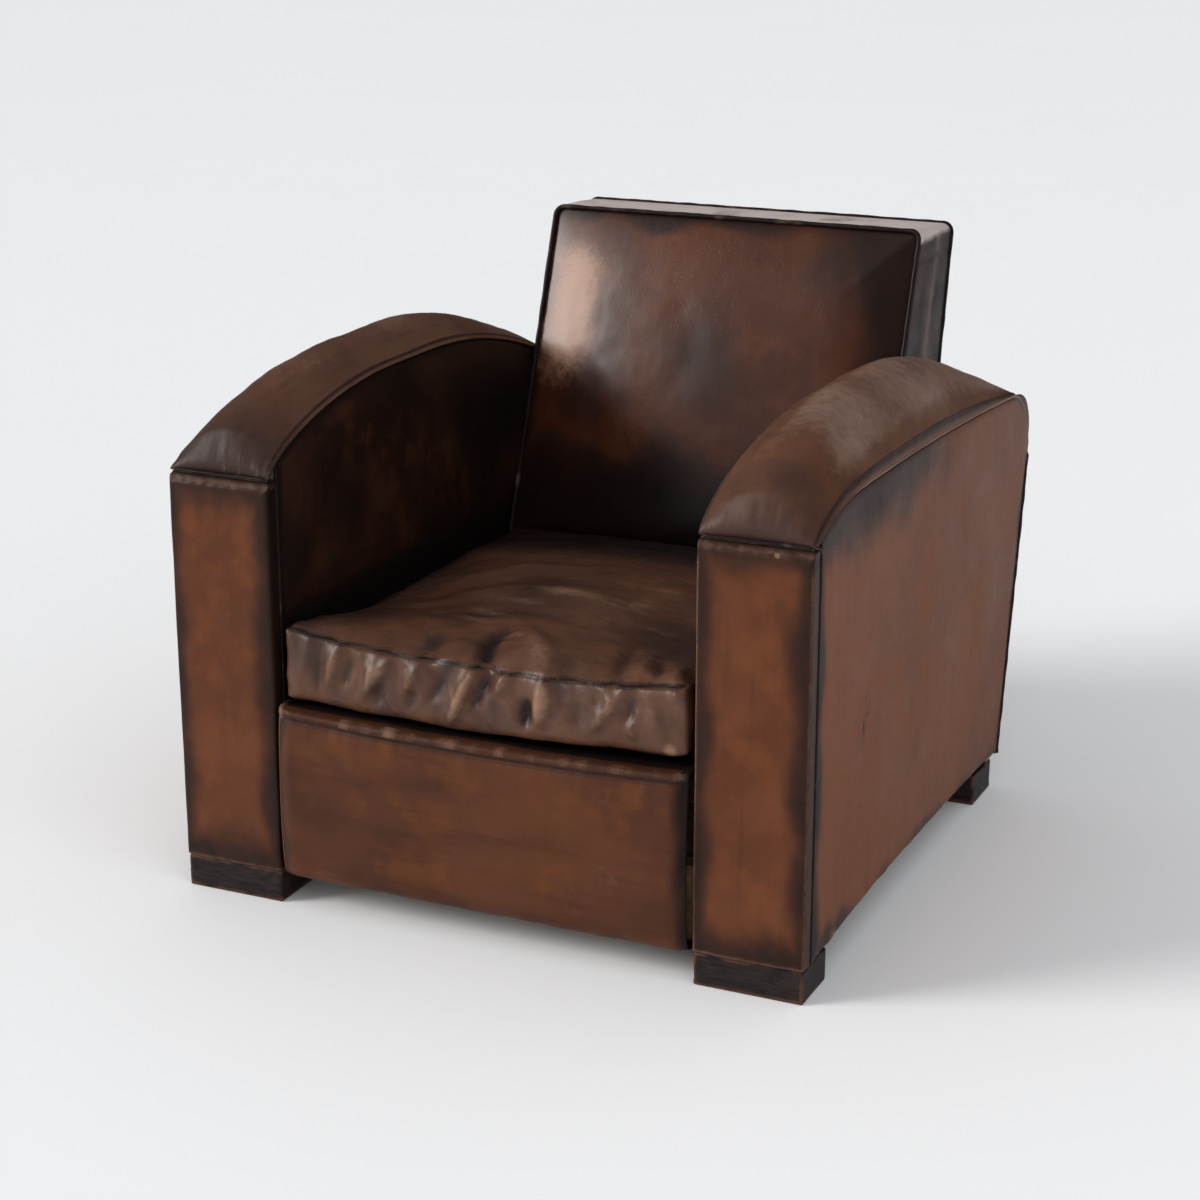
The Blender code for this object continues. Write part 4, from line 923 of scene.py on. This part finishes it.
for word, lower, side in sides:
    inner, outer = armInner + 0.0008, form["halfWidth"] - 0.0004
    groove, nose, level = form["facingDepth"] + 0.0008, 0.0048, form["armHeight"] - 0.0004
    path = [(inner + 0.0004, groove, height) for height in spread(0.245, level - 0.012, 40)]
    path += [(inner, groove - 0.003, level - 0.005), (inner + 0.001, nose + 0.006, level - 0.001)]
    for x in spread(inner + 0.005, outer - 0.006, 30):
        bow = welts["armWaver"] * math.sin(math.pi * (x - inner) / form["armWidth"])
        path.append((x, nose - bow, level + welts["armWaver"] * ripple((x, 0, 0), 0.02, side)))
    path += [(outer - 0.001, nose + 0.006, level - 0.001), (outer, groove - 0.003, level - 0.005)]
    path += [(outer, groove, height) for height in spread(level - 0.012, form["frameBottom"] + 0.003, 60)]
    shape = cordMesh([mirrored(side, point) for point in path], welts["arm"], 10, welts["uneven"])
    addPiece("armPiping" + word, shape, leathers["piping"], (), weltPaint)

armStitch = {"pitch": 0.0052, "length": 0.0032, "radius": 0.00034, "inset": 0.0048, "cord": 0.0017,
             "uneven": 0.2}


def armSeamPaint(side, point):
    return armTopPaint(side, Vector((side * (form["halfWidth"] - 0.03), point.y, point.z)))


for word, lower, side in sides:
    for edge, across in (("Inner", 0.0), ("Outer", 1.0)):
        depths = spread(form["noseSetback"] + 0.004, armEnd - 0.001, 150, 0.5)
        seam = []
        for depth in depths:
            point = armSurface(across, depth)
            point.x += 0.0009 if across < 0.5 else -0.0009
            point.z -= 0.0012
            seam.append(mirrored(side, point))
        if across > 0.5:
            seam += [mirrored(side, (form["halfWidth"] - 0.001, rearPlane(height) + 0.001, height))
                     for height in (0.438, 0.433, 0.428)]
        shape = cordMesh(seam, armStitch["cord"], 8, armStitch["uneven"])
        addPiece(f"armSeam{edge}{word}", shape, leathers["armTop"], (),
                 lambda point, side=side: armSeamPaint(side, point))
        share = abs(across - armStitch["inset"] / form["armWidth"])
        row = [armTopPoint(side, share, depth) + Vector((0, 0, 0.0001)) for depth in depths[3:-12]]
        stitchRow(f"armStitching{edge}{word}", row, armStitch["pitch"], armStitch["length"],
                  armStitch["radius"])

# Apron: a padded flap over the front rail, with a sewn roll along its top

apron = {
    "half": 0.2615, "proud": 0.015, "height": 0.2487, "seam": 0.2362, "endRise": 0.0062, "endRound": 0.022,
    "endSetback": 0.011, "tuck": 0.048, "railTop": 0.1308, "low": 0.0375, "railFront": 0.0303,
    "unevenness": 0.0016, "rollRipple": 0.0007, "seamDepth": 0.0011, "puckers": 0.0012,
    "stitch": 0.0048, "stitchLength": 0.003, "thread": 0.0004, "seamHalf": 0.0026, "fill": 0.7,
}


def apronProfile():
    front, low, top, seam = -apron["proud"], apron["low"], apron["height"], apron["seam"]
    return [(apron["railFront"] + 0.0025, low), (0.010, low), (-0.006, low + 0.0065),
            (front + 0.0025, low + 0.0375), (front, apron["railTop"] + 0.003),
            (front + 0.0025, seam - 0.031), (front + 0.0060, seam - 0.003), (front + 0.0068, seam),
            (front + 0.0056, seam + 0.003), (front + 0.0066, top - 0.0050), (front + 0.0110, top - 0.0014),
            (front + 0.029, top), (front + 0.045, top - 0.0025), (apron["tuck"], form["platform"] + 0.0012)]


def throughPoints(points, count):  # a smooth line through a few points, evenly stepped
    lengths = [0.0]
    for before, after in zip(points, points[1:]):
        lengths.append(lengths[-1] + math.dist(before, after))
    line = []
    for target in spread(0, lengths[-1], count):
        index = max(i for i in range(len(points) - 1) if lengths[i] <= target + 1e-9)
        share = (target - lengths[index]) / (lengths[index + 1] - lengths[index])
        a, b, c, d = (Vector(points[clamp(index + shift, 0, len(points) - 1)]) for shift in (-1, 0, 1, 2))
        line.append(0.5 * (2 * b + (c - a) * share + (2 * a - 5 * b + 4 * c - d) * share ** 2
                           + (3 * b - a - 3 * c + d) * share ** 3))
    return line


apronLine = throughPoints(apronProfile(), 110)


def apronRise(x):  # the roll and its seam climb a little to both ends
    return apron["endRise"] * (x / apron["half"]) ** 2


def apronPoint(x, index):
    here = apronLine[index]
    along = (apronLine[min(index + 1, len(apronLine) - 1)] - apronLine[max(0, index - 1)]).normalized()
    out = Vector((-along.y, along.x))
    past = clamp((abs(x) - (apron["half"] - apron["endRound"])) / apron["endRound"])
    shown = smoothstep((apron["railFront"] - here.x) / 0.02)
    place = (x, here.x, here.y)
    inner = smoothstep((apron["half"] - abs(x)) / 0.01)
    lift = apron["unevenness"] * ripple(place, 0.09, 2.0) + 0.0006 * ripple(place, 0.025, 4.0)
    onRoll = smoothstep((here.y - apron["seam"] - 0.001) / 0.003)
    lift += apron["rollRipple"] * onRoll * ripple((x, 0, here.y * 0.3), 0.022, 3.0)
    lift -= apron["seamDepth"] * hump(here.y - apron["seam"], 0.0016) * (here.x < 0.01)
    lift += apron["puckers"] * hump(here.y - apron["seam"] + 0.010, 0.010) * ripple((x, 0, 0), 0.014, 7.0)
    depth, height = here + out * lift * shown * inner
    proud = clamp((apron["railFront"] - depth) / (apron["railFront"] + apron["proud"]))
    height += apronRise(x) * smoothstep((height - 0.17) / 0.05)
    return Vector((x, depth + apron["endSetback"] * past ** 2 * proud, height))


def apronPaint(point):
    fromEnd = apron["half"] - abs(point.x)
    wander = ripple(point, 0.05, 3.0) * 0.014
    dark = 0.9 * near(fromEnd + wander, 0.024)
    if point.x <= 0:
        dark = 0.5 * near(fromEnd + wander - 0.004, 0.014)
    dark = max(dark, 0.45 * near(point.z - apron["low"] + wander, 0.02))
    aboveSeam = point.z - apronRise(point.x) - apron["seam"]
    # painted shade on the roll's top where it runs back under the cushion
    if aboveSeam > 0:
        dark = max(dark, smoothstep(point.y / 0.010))
    dark = max(dark, 0.42 * smoothstep((aboveSeam - 0.001) / 0.003), 0.85 * hump(aboveSeam, 0.0013))
    dark = max(dark, 0.12 + ripple((point.x * 0.4, point.y, point.z * 1.4), 0.060, 5.0) * 0.40)
    if point.x < 0:
        dark = max(dark, 0.30 * hump(point.z - 0.150, 0.022) * smoothstep((-point.x - 0.10) / 0.1))
    wearAndHighlight = 0.30 * spot((point.x, point.z), (0.150, 0.115), 0.050) + ripple(point, 0.03, 1.0) * 0.25
    wearAndHighlight = max(wearAndHighlight, 0.8 * hump(fromEnd, 0.003) * (point.x < 0))
    # painted highlights along the front of the roll
    if aboveSeam > 0.002 and point.y < 0.0:
        wearAndHighlight = max(wearAndHighlight, 0.30 + ripple((point.x, 0, 0), 0.020, 4.0) * 0.6)
    wearAndHighlight = max(wearAndHighlight, 1.1 * spot((point.x, point.z), (-0.260, 0.247), 0.008))
    return clamp(dark), clamp(wearAndHighlight)


shape = sheetGrid(spread(-apron["half"], apron["half"], 170, 0.45), list(range(len(apronLine))), apronPoint)
addPiece("apron", shape, leathers["apron"], ["apron_leather", "apron_stuffing"], apronPaint,
         (0, -1, 0), form["leather"])
for word, shift in (("Upper", apron["seamHalf"]), ("Lower", -apron["seamHalf"])):
    shown = [i for i in range(len(apronLine)) if apronLine[i].x <= 0.01]
    index = min(shown, key=lambda i: abs(apronLine[i].y - apron["seam"] - shift))
    row = [apronPoint(x, index) + Vector((0, -0.0003, 0))
           for x in spread(-apron["half"] + 0.004, apron["half"] - 0.004, 200)]
    stitchRow("apronStitching" + word, row, apron["stitch"], apron["stitchLength"], apron["thread"])

# Seat cushion: puffed by a cloth simulation, then its sewn edge, folds and creases are worked in

cushion = {
    "half": 0.262, "front": 0.002, "frontHeight": 0.334, "cornerRise": 0.016, "rearHeight": 0.316,
    "hem": 0.2545, "hemLeft": 0.0070, "hemRight": 0.0160, "hemWave": 0.0008, "crown": 0.034,
    "waist": 0.004, "voxel": 0.006, "pressure": 4.0, "frames": 20, "cap": 0.007, "shrink": 0.003,
    "sideLimit": 0.2655, "foldDepth": 1.45, "topFoldDepth": 1.25, "slouch": 0.0022, "crease": 0.0007,
    "topCrumple": 0.0016, "topCrease": 0.0006, "seamDepth": 0.0011, "stitch": 0.0050,
    "stitchLength": 0.0032, "thread": 0.00042, "seamHalf": 0.0022, "fill": 0.6,
}
# Ridges and hollows as (line, width, height), drawn on the front boxing as x and height
boxingFolds = [
    ([(-0.221, 0.343), (-0.230, 0.297)], 0.008, 0.0024),
    ([(-0.206, 0.330), (-0.212, 0.278)], 0.007, -0.0034),
    ([(-0.181, 0.338), (-0.190, 0.312), (-0.197, 0.286)], 0.009, 0.0046),
    ([(-0.164, 0.326), (-0.178, 0.286)], 0.008, -0.0034),
    ([(-0.132, 0.333), (-0.142, 0.303)], 0.008, 0.0030),
    ([(-0.113, 0.330), (-0.138, 0.300), (-0.154, 0.276)], 0.009, 0.0044),
    ([(-0.122, 0.300), (-0.136, 0.270)], 0.008, -0.0034),
    ([(-0.077, 0.327), (-0.096, 0.293)], 0.008, 0.0036),
    ([(-0.080, 0.298), (-0.092, 0.272)], 0.007, -0.0030),
    ([(-0.036, 0.326), (-0.052, 0.304), (-0.066, 0.284)], 0.010, -0.0044),
    ([(-0.003, 0.334), (-0.018, 0.304), (-0.039, 0.264)], 0.010, 0.0062),
    ([(0.019, 0.335), (0.002, 0.310), (-0.018, 0.283)], 0.010, -0.0056),
    ([(0.042, 0.337), (0.017, 0.305)], 0.009, 0.0044),
    ([(0.064, 0.310), (0.055, 0.272)], 0.009, -0.0068),
    ([(0.081, 0.335), (0.080, 0.306), (0.072, 0.277)], 0.012, 0.0066),
    ([(0.123, 0.318), (0.120, 0.284)], 0.012, -0.0030),
    ([(0.180, 0.338), (0.162, 0.312), (0.136, 0.280)], 0.009, 0.0044),
    ([(0.192, 0.331), (0.184, 0.300)], 0.007, -0.0038),
    ([(0.186, 0.300), (0.194, 0.280)], 0.006, 0.0032),
    ([(0.242, 0.344), (0.241, 0.330)], 0.006, 0.0024),
    ([(0.212, 0.320), (0.226, 0.288)], 0.010, 0.0024),
]
# and on the top panel as x and depth
topFolds = [
    ([(-0.009, 0.112), (-0.012, 0.060), (0.002, 0.020), (0.016, -0.004)], 0.012, -0.0088),
    ([(0.012, 0.112), (0.042, 0.070), (0.070, 0.036), (0.090, -0.004)], 0.018, 0.0056),
    ([(0.030, 0.052), (0.040, 0.014)], 0.022, 0.0030),
    ([(0.100, 0.050), (0.116, 0.006)], 0.012, -0.0026),
    ([(-0.076, 0.076), (-0.073, 0.030), (-0.062, 0.000)], 0.013, -0.0058),
    ([(-0.044, 0.060), (-0.038, 0.006)], 0.014, 0.0030),
    ([(-0.130, 0.060), (-0.120, 0.012)], 0.012, -0.0028),
    ([(-0.175, 0.040), (-0.180, 0.006)], 0.010, 0.0020),
    ([(0.150, 0.112), (0.158, 0.050), (0.167, 0.004)], 0.010, -0.0042),
    ([(0.178, 0.095), (0.190, 0.012)], 0.009, 0.0030),
    ([(0.198, 0.082), (0.211, 0.022)], 0.008, -0.0042),
    ([(0.226, 0.070), (0.236, 0.010)], 0.008, 0.0030),
    ([(-0.155, 0.165), (-0.073, 0.245), (0.030, 0.240), (0.110, 0.205)], 0.020, 0.0034),
    ([(-0.160, 0.215), (-0.070, 0.292), (0.060, 0.296)], 0.020, -0.0026),
    ([(-0.160, 0.274), (-0.100, 0.335), (-0.020, 0.350)], 0.018, 0.0030),
    ([(-0.110, 0.130), (-0.020, 0.180), (0.070, 0.160)], 0.020, -0.0026),
    ([(0.060, 0.350), (0.150, 0.300), (0.210, 0.220)], 0.024, 0.0028),
]


def relief(x, y, folds):  # how far the drawn ridges and hollows lift a point
    return sum(height * fold(x, y, line, width) for line, width, height in folds)


def seamHeight(x):  # the sewn front edge rises to both corners
    return cushion["frontHeight"] + cushion["cornerRise"] * abs(x / cushion["half"]) ** 3


def hemHeight(x):  # the front lower edge hangs clear of the apron's roll, most at the right
    rise = cushion["hemRight"] if x > 0 else cushion["hemLeft"]
    return cushion["hem"] + rise * abs(x / cushion["half"]) ** 1.2 + cushion["hemWave"] * math.sin(48 * x)


def cushionBlock():
    shape = denseBox((60, 60, 10))
    rest = form["platform"] + 0.0008
    for vert in shape.verts:
        across, share, up = 2 * vert.co.x - 1, vert.co.y, vert.co.z
        across = math.sin(math.pi / 2 * across)
        share = (1 - math.cos(math.pi * share)) / 2
        x = across * (cushion["half"] - cushion["shrink"])
        depth = lerp(cushion["front"], backPlane(rest) - 0.007, share)
        bottom = lerp(hemHeight(x), rest, smoothstep((depth - 0.052) / 0.04))
        edge = lerp(seamHeight(x), cushion["rearHeight"], smoothstep(share / 0.35))
        dome = max(0.0, math.sin(math.pi * (across + 1) / 2) * math.sin(math.pi * share)) ** 0.7
        height = lerp(bottom, edge, up) + cushion["crown"] * dome * up ** 6
        end = backPlane(min(height, form["domeStart"])) - 0.0085
        depth = lerp(cushion["front"], end, share)
        waist = cushion["waist"] * math.sin(math.pi * up)  # the boxing bellies out a little between its seams
        if share < 0.02:
            depth -= waist * (1 - abs(across) ** 4)
        vert.co = (x, depth, height)
    faceOut(shape)
    mesh = bpy.data.meshes.new("cushionForm")
    shape.to_mesh(mesh)
    shape.free()
    return mesh


def evaluated(item):
    graph = bpy.context.evaluated_depsgraph_get()
    return bpy.data.meshes.new_from_object(item.evaluated_get(graph))


def puffed(mesh):
    item = bpy.data.objects.new("cushionPuff", mesh)
    scene.collection.objects.link(item)
    even = item.modifiers.new("even", "REMESH")
    even.mode = "VOXEL"
    even.voxel_size = cushion["voxel"]
    item.data = evaluated(item)
    item.modifiers.clear()
    start = [vert.co.copy() for vert in item.data.vertices]
    cloth = item.modifiers.new("puff", "CLOTH")
    cloth.settings.use_pressure = True
    cloth.settings.uniform_pressure_force = cushion["pressure"]
    cloth.settings.effector_weights.gravity = 0
    cloth.settings.quality = 5
    for step in range(1, cushion["frames"] + 1):
        scene.frame_set(step)
    moved = evaluated(item)
    item.modifiers.clear()
    for vert, before, after in zip(item.data.vertices, start, moved.vertices):
        shift = after.co - before
        vert.co = before + shift * min(1.0, cushion["cap"] / max(shift.length, 1e-6))
    scene.frame_set(1)
    smooth = item.modifiers.new("smooth", "SUBSURF")
    smooth.levels = smooth.render_levels = 1
    result = evaluated(item)
    bpy.data.objects.remove(item, do_unlink=True)
    shape = bmesh.new()
    shape.from_mesh(result)
    return shape


def cushionWork(shape):  # folds, seam grooves and contact with the neighbours
    shape.normal_update()
    normals = {vert: vert.normal.copy() for vert in shape.verts}
    rest, roll = form["platform"] + 0.0006, apron["height"] + 0.0006
    for vert in shape.verts:
        point, normal = vert.co.copy(), normals[vert]
        seam = seamHeight(point.x)
        move = 0.0
        frontness = clamp(-normal.y * 1.4)
        topness = clamp(normal.z * 1.3)
        if frontness > 0 and point.y < 0.03:
            move += frontness * cushion["foldDepth"] * relief(point.x, point.z, boxingFolds)
            body = smoothstep((seam - point.z) / 0.008) * smoothstep((point.z - hemHeight(point.x)) / 0.012)
            slant = (point.x + 0.45 * (point.z - 0.30), 0, (point.z - 0.30) * 0.45)
            move += frontness * body * cushion["slouch"] * ripple(slant, 0.016, 3.0)
            move += frontness * body * cushion["crease"] * crumple(slant, 0.010, 5.0)
        if topness > 0:
            move += topness * cushion["topFoldDepth"] * relief(point.x, point.y, topFolds)
            move += topness * cushion["topCrumple"] * crumple((point.x, point.y, 0), 0.055, 5.0)
            move += topness * cushion["topCrease"] * crumple((point.x * 0.5, point.y, 0), 0.018, 1.0)
        if point.y < 0.02:
            move -= cushion["seamDepth"] * hump(point.z - seam, 0.0018)
        point += normal * move
        point.x = clamp(point.x, -cushion["sideLimit"], cushion["sideLimit"])
        floor = lerp(roll, rest, smoothstep((point.y - 0.049) / 0.012))
        point.z = max(point.z, floor)
        point.y = min(point.y, backPlane(min(point.z, form["domeStart"])) - 0.0072)
        point.y = max(point.y, -0.006)
        vert.co = point
    return shape


def cushionPaint(point):
    seam = seamHeight(point.x)
    dark, wearAndHighlight = 0.10 + ripple(point, 0.09, 2.0) * 0.5, 0.10 + ripple(point, 0.06, 6.0) * 0.3
    if point.y < 0.03 and point.z < seam + 0.004:
        # painted shade in the fold hollows and painted highlights on the fold ridges
        lift = relief(point.x, point.z, boxingFolds) / 0.006
        dark, wearAndHighlight = max(dark, -0.85 * lift), max(wearAndHighlight, 0.80 * lift)
        blotch = ripple((point.x, point.z * 0.6, 0), 0.036, 4.0)
        blotch += ripple((point.x, point.z, 0), 0.012, 5.0) * 0.3
        dark, wearAndHighlight = max(dark, 0.10 - blotch * 0.5), max(wearAndHighlight, blotch * 0.5)
        # painted shade along the lower edge, which hangs over the dark gap
        dark = max(dark, 0.9 * near(point.z - hemHeight(point.x) + 0.002, 0.006))
        wearAndHighlight = max(wearAndHighlight, 0.9 * spot((point.x, point.z), (0.235, hemHeight(0.235) + 0.005), 0.010))
    else:
        # painted shade beside the arms and towards the back
        shadeBesideArms = max(0.75 * smoothstep((-point.x - 0.17) / 0.09), 0.6 * smoothstep((point.x - 0.23) / 0.03))
        dark = max(dark, shadeBesideArms, 0.85 * smoothstep((point.y - 0.36) / 0.14))
        # painted shade in the fold hollows and painted highlights on the fold ridges
        lift = relief(point.x, point.y, topFolds) / 0.006
        dark, wearAndHighlight = max(dark, -0.60 * lift), max(wearAndHighlight, 0.52 * lift)
        bands = ripple((point.x * 0.25, point.y + 0.1 * point.x, 0), 0.022, 8.0)
        wearAndHighlight = max(wearAndHighlight, (0.25 + bands) * spot((point.x, point.y), (0.02, 0.20), 0.16))
    if point.y < 0.02:
        dark = max(dark, hump(point.z - seam, 0.0014))
    return clamp(dark), clamp(wearAndHighlight)


cushionShape = cushionWork(puffed(cushionBlock()))
cushionTree = BVHTree.FromBMesh(cushionShape)
addPiece("seatCushion", cushionShape, leathers["cushion"], ["seat_cushion"],
         cushionPaint, None, 0.0)
for word, shift in (("Upper", cushion["seamHalf"]), ("Lower", -cushion["seamHalf"])):
    row = []
    for x in spread(-cushion["half"] + 0.006, cushion["half"] - 0.006, 260):
        hit = cushionTree.ray_cast(Vector((x, -0.1, seamHeight(x) + shift)), Vector((0, 1, 0)))[0]
        if hit:
            row.append(hit - Vector((0, 0.0002, 0)))
    stitchRow("cushionStitching" + word, row, cushion["stitch"], cushion["stitchLength"], cushion["thread"])

# Feet: stained blocks, rubbed at their edges

foot = {"round": 0.0022, "chip": 0.0008}
feet = [(f"foot{end}{word}", f"foot_{end.lower()}_{lower}") for word, lower, side in sides
        for end in ("Front", "Back")]
footTimber = timber("footTimber", (0.022, 0.0145, 0.0125), (0.009, 0.0060, 0.0055), 0.52, 0.8)
for name, node in feet:
    low, high = (Vector(corner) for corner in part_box(node))
    low.y -= frontY
    high.y -= frontY
    box = softBox(low, high, (26, 22, 12), foot["round"])
    for vert in box.verts:
        if vert.co.z > 0.001:
            vert.co += (Vector((vert.co.x, vert.co.y, 0.02)) - (low + high) / 2).normalized() * (
                foot["chip"] * min(0.0, crumple(vert.co, 0.02, 2.0)))

    def footPaint(point, low=low, high=high):
        edges = sorted(min(point[axis] - low[axis], high[axis] - point[axis]) for axis in range(3))
        rubbingAndHighlight = hump(edges[1], 0.004) + 0.5 * hump(point.z, 0.006)
        return 0.0, clamp(rubbingAndHighlight * (0.7 + ripple(point, 0.02, 3.0)))

    addPiece(name, box, footTimber, [node], footPaint)

# What lies inside keeps its own shape and takes a finish

insideFinishes = {
    "frame_timber": timber("frameTimber", (0.36, 0.23, 0.13), (0.20, 0.115, 0.06), 0.7, 0.0),
    "stuffing": hair("stuffingHair"),
    "jute_web": coarseCloth("juteWeb", (0.40, 0.30, 0.17), (0.20, 0.14, 0.08), 0.0022),
    "jute_canvas": coarseCloth("juteCanvas", (0.34, 0.26, 0.16), (0.18, 0.13, 0.08), 0.0012),
    "spring_steel": steel("springSteel"),
    "border_leather": leathers["border"],
}
print("club chair: pieces made")


def insideFinish(node):
    if "stuffing" in node:
        return "stuffing"
    if "web" in node:
        return "jute_web"
    if "canvas" in node:
        return "jute_canvas"
    if "spring" in node:
        return "spring_steel"
    if "leather" in node:
        return "border_leather"
    return "frame_timber"


for node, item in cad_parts.items():
    if not item.hide_render:
        item.data.materials.clear()
        item.data.materials.append(insideFinishes[insideFinish(node)])

# Floor, light and camera

studio = {  # a lamp comes from degrees left of the front and degrees up, and is as wide as its angle
    "floor": (0.925, 0.925, 0.925), "wall": (0.775, 0.785, 0.805), "world": 0.60,
    "worldColour": (0.95, 0.97, 1.0), "window": (-0.80, -0.56, 0.22), "unlit": 0.10,
    "key": {"left": 56, "up": 25, "angle": 24, "strength": 2.3, "colour": (1.0, 0.985, 0.96)},
    "fill": {"left": -48, "up": 32, "angle": 70, "strength": 0.8, "colour": (0.97, 0.985, 1.0)},
}
floorShape = bmesh.new()
bmesh.ops.create_grid(floorShape, x_segments=4, y_segments=4, size=14)
floorMesh = bpy.data.meshes.new("floor")
floorShape.to_mesh(floorMesh)
floorShape.free()
floor = bpy.data.objects.new("floor", floorMesh)
scene.collection.objects.link(floor)
paving = Recipe("floorPaint")
cloudy = paving.cloud(0.9, 3.0)
paving.set(Base_Color=paving.mix(cloudy * 0.25, studio["floor"], (0.84, 0.845, 0.85)), Roughness=0.6)
floorMesh.materials.append(paving.material)

scene.world = bpy.data.worlds.new("studio")
room = Recipe("studio", scene.world)
reflected, seenDirect, seenThrough = (
    room.node("ShaderNodeLightPath", {}, {}, f"Is {kind} Ray")
    for kind in ("Glossy", "Camera", "Transmission"))
window = room.node("ShaderNodeVectorMath", {"operation": "DOT_PRODUCT"}, {
    0: room.place, 1: studio["window"]}, "Value")
glow = studio["unlit"] + room.between(window, 0.45, 1.0) * (1 - studio["unlit"])
backdrop = room.node("ShaderNodeBackground", {}, {
    "Color": (*studio["wall"], 1), "Strength": 1 - reflected * (1 - glow)})
daylight = room.node("ShaderNodeBackground", {}, {
    "Color": (*studio["worldColour"], 1), "Strength": studio["world"]})
seen = reflected.sum("MAXIMUM", reflected, seenDirect.sum("MAXIMUM", seenDirect, seenThrough))
sky = room.node("ShaderNodeMixShader", {}, {0: seen, 1: daylight, 2: backdrop})
room.tree.links.new(sky.socket, room.tree.nodes["World Output"].inputs["Surface"])

for name in ("key", "fill"):
    lamp = studio[name]
    light = bpy.data.lights.new(name + "Light", "SUN")
    light.energy, light.color, light.angle = lamp["strength"], lamp["colour"], math.radians(lamp["angle"])
    sideways, upwards = math.radians(lamp["left"]), math.radians(lamp["up"])
    source = Vector((-math.sin(sideways) * math.cos(upwards), -math.cos(sideways) * math.cos(upwards),
                     math.sin(upwards)))
    item = bpy.data.objects.new(name + "Light", light)
    item.rotation_euler = (-source).to_track_quat("-Z", "Y").to_euler()
    item.visible_glossy = name == "key"  # only the window shows in the leather
    scene.collection.objects.link(item)

shot = {"azimuth": 24.6287, "elevation": 17.552, "lens": 77.27, "place": (1.2693, -2.4322, 1.2851)}
turn, tilt = math.radians(shot["azimuth"]), math.radians(shot["elevation"])
back = Vector((math.sin(turn) * math.cos(tilt), -math.cos(turn) * math.cos(tilt), math.sin(tilt)))
lens = bpy.data.cameras.new("camera")
lens.lens = shot["lens"]
lens.sensor_width = 36
camera = bpy.data.objects.new("camera", lens)
camera.location = Vector(shot["place"]) + Vector((0, frontY, 0))
camera.rotation_euler = (-back).to_track_quat("-Z", "Y").to_euler()
scene.collection.objects.link(camera)
scene.camera = camera
scene.view_settings.view_transform = "Standard"
bpy.context.view_layer.update()

print("club chair: ready")
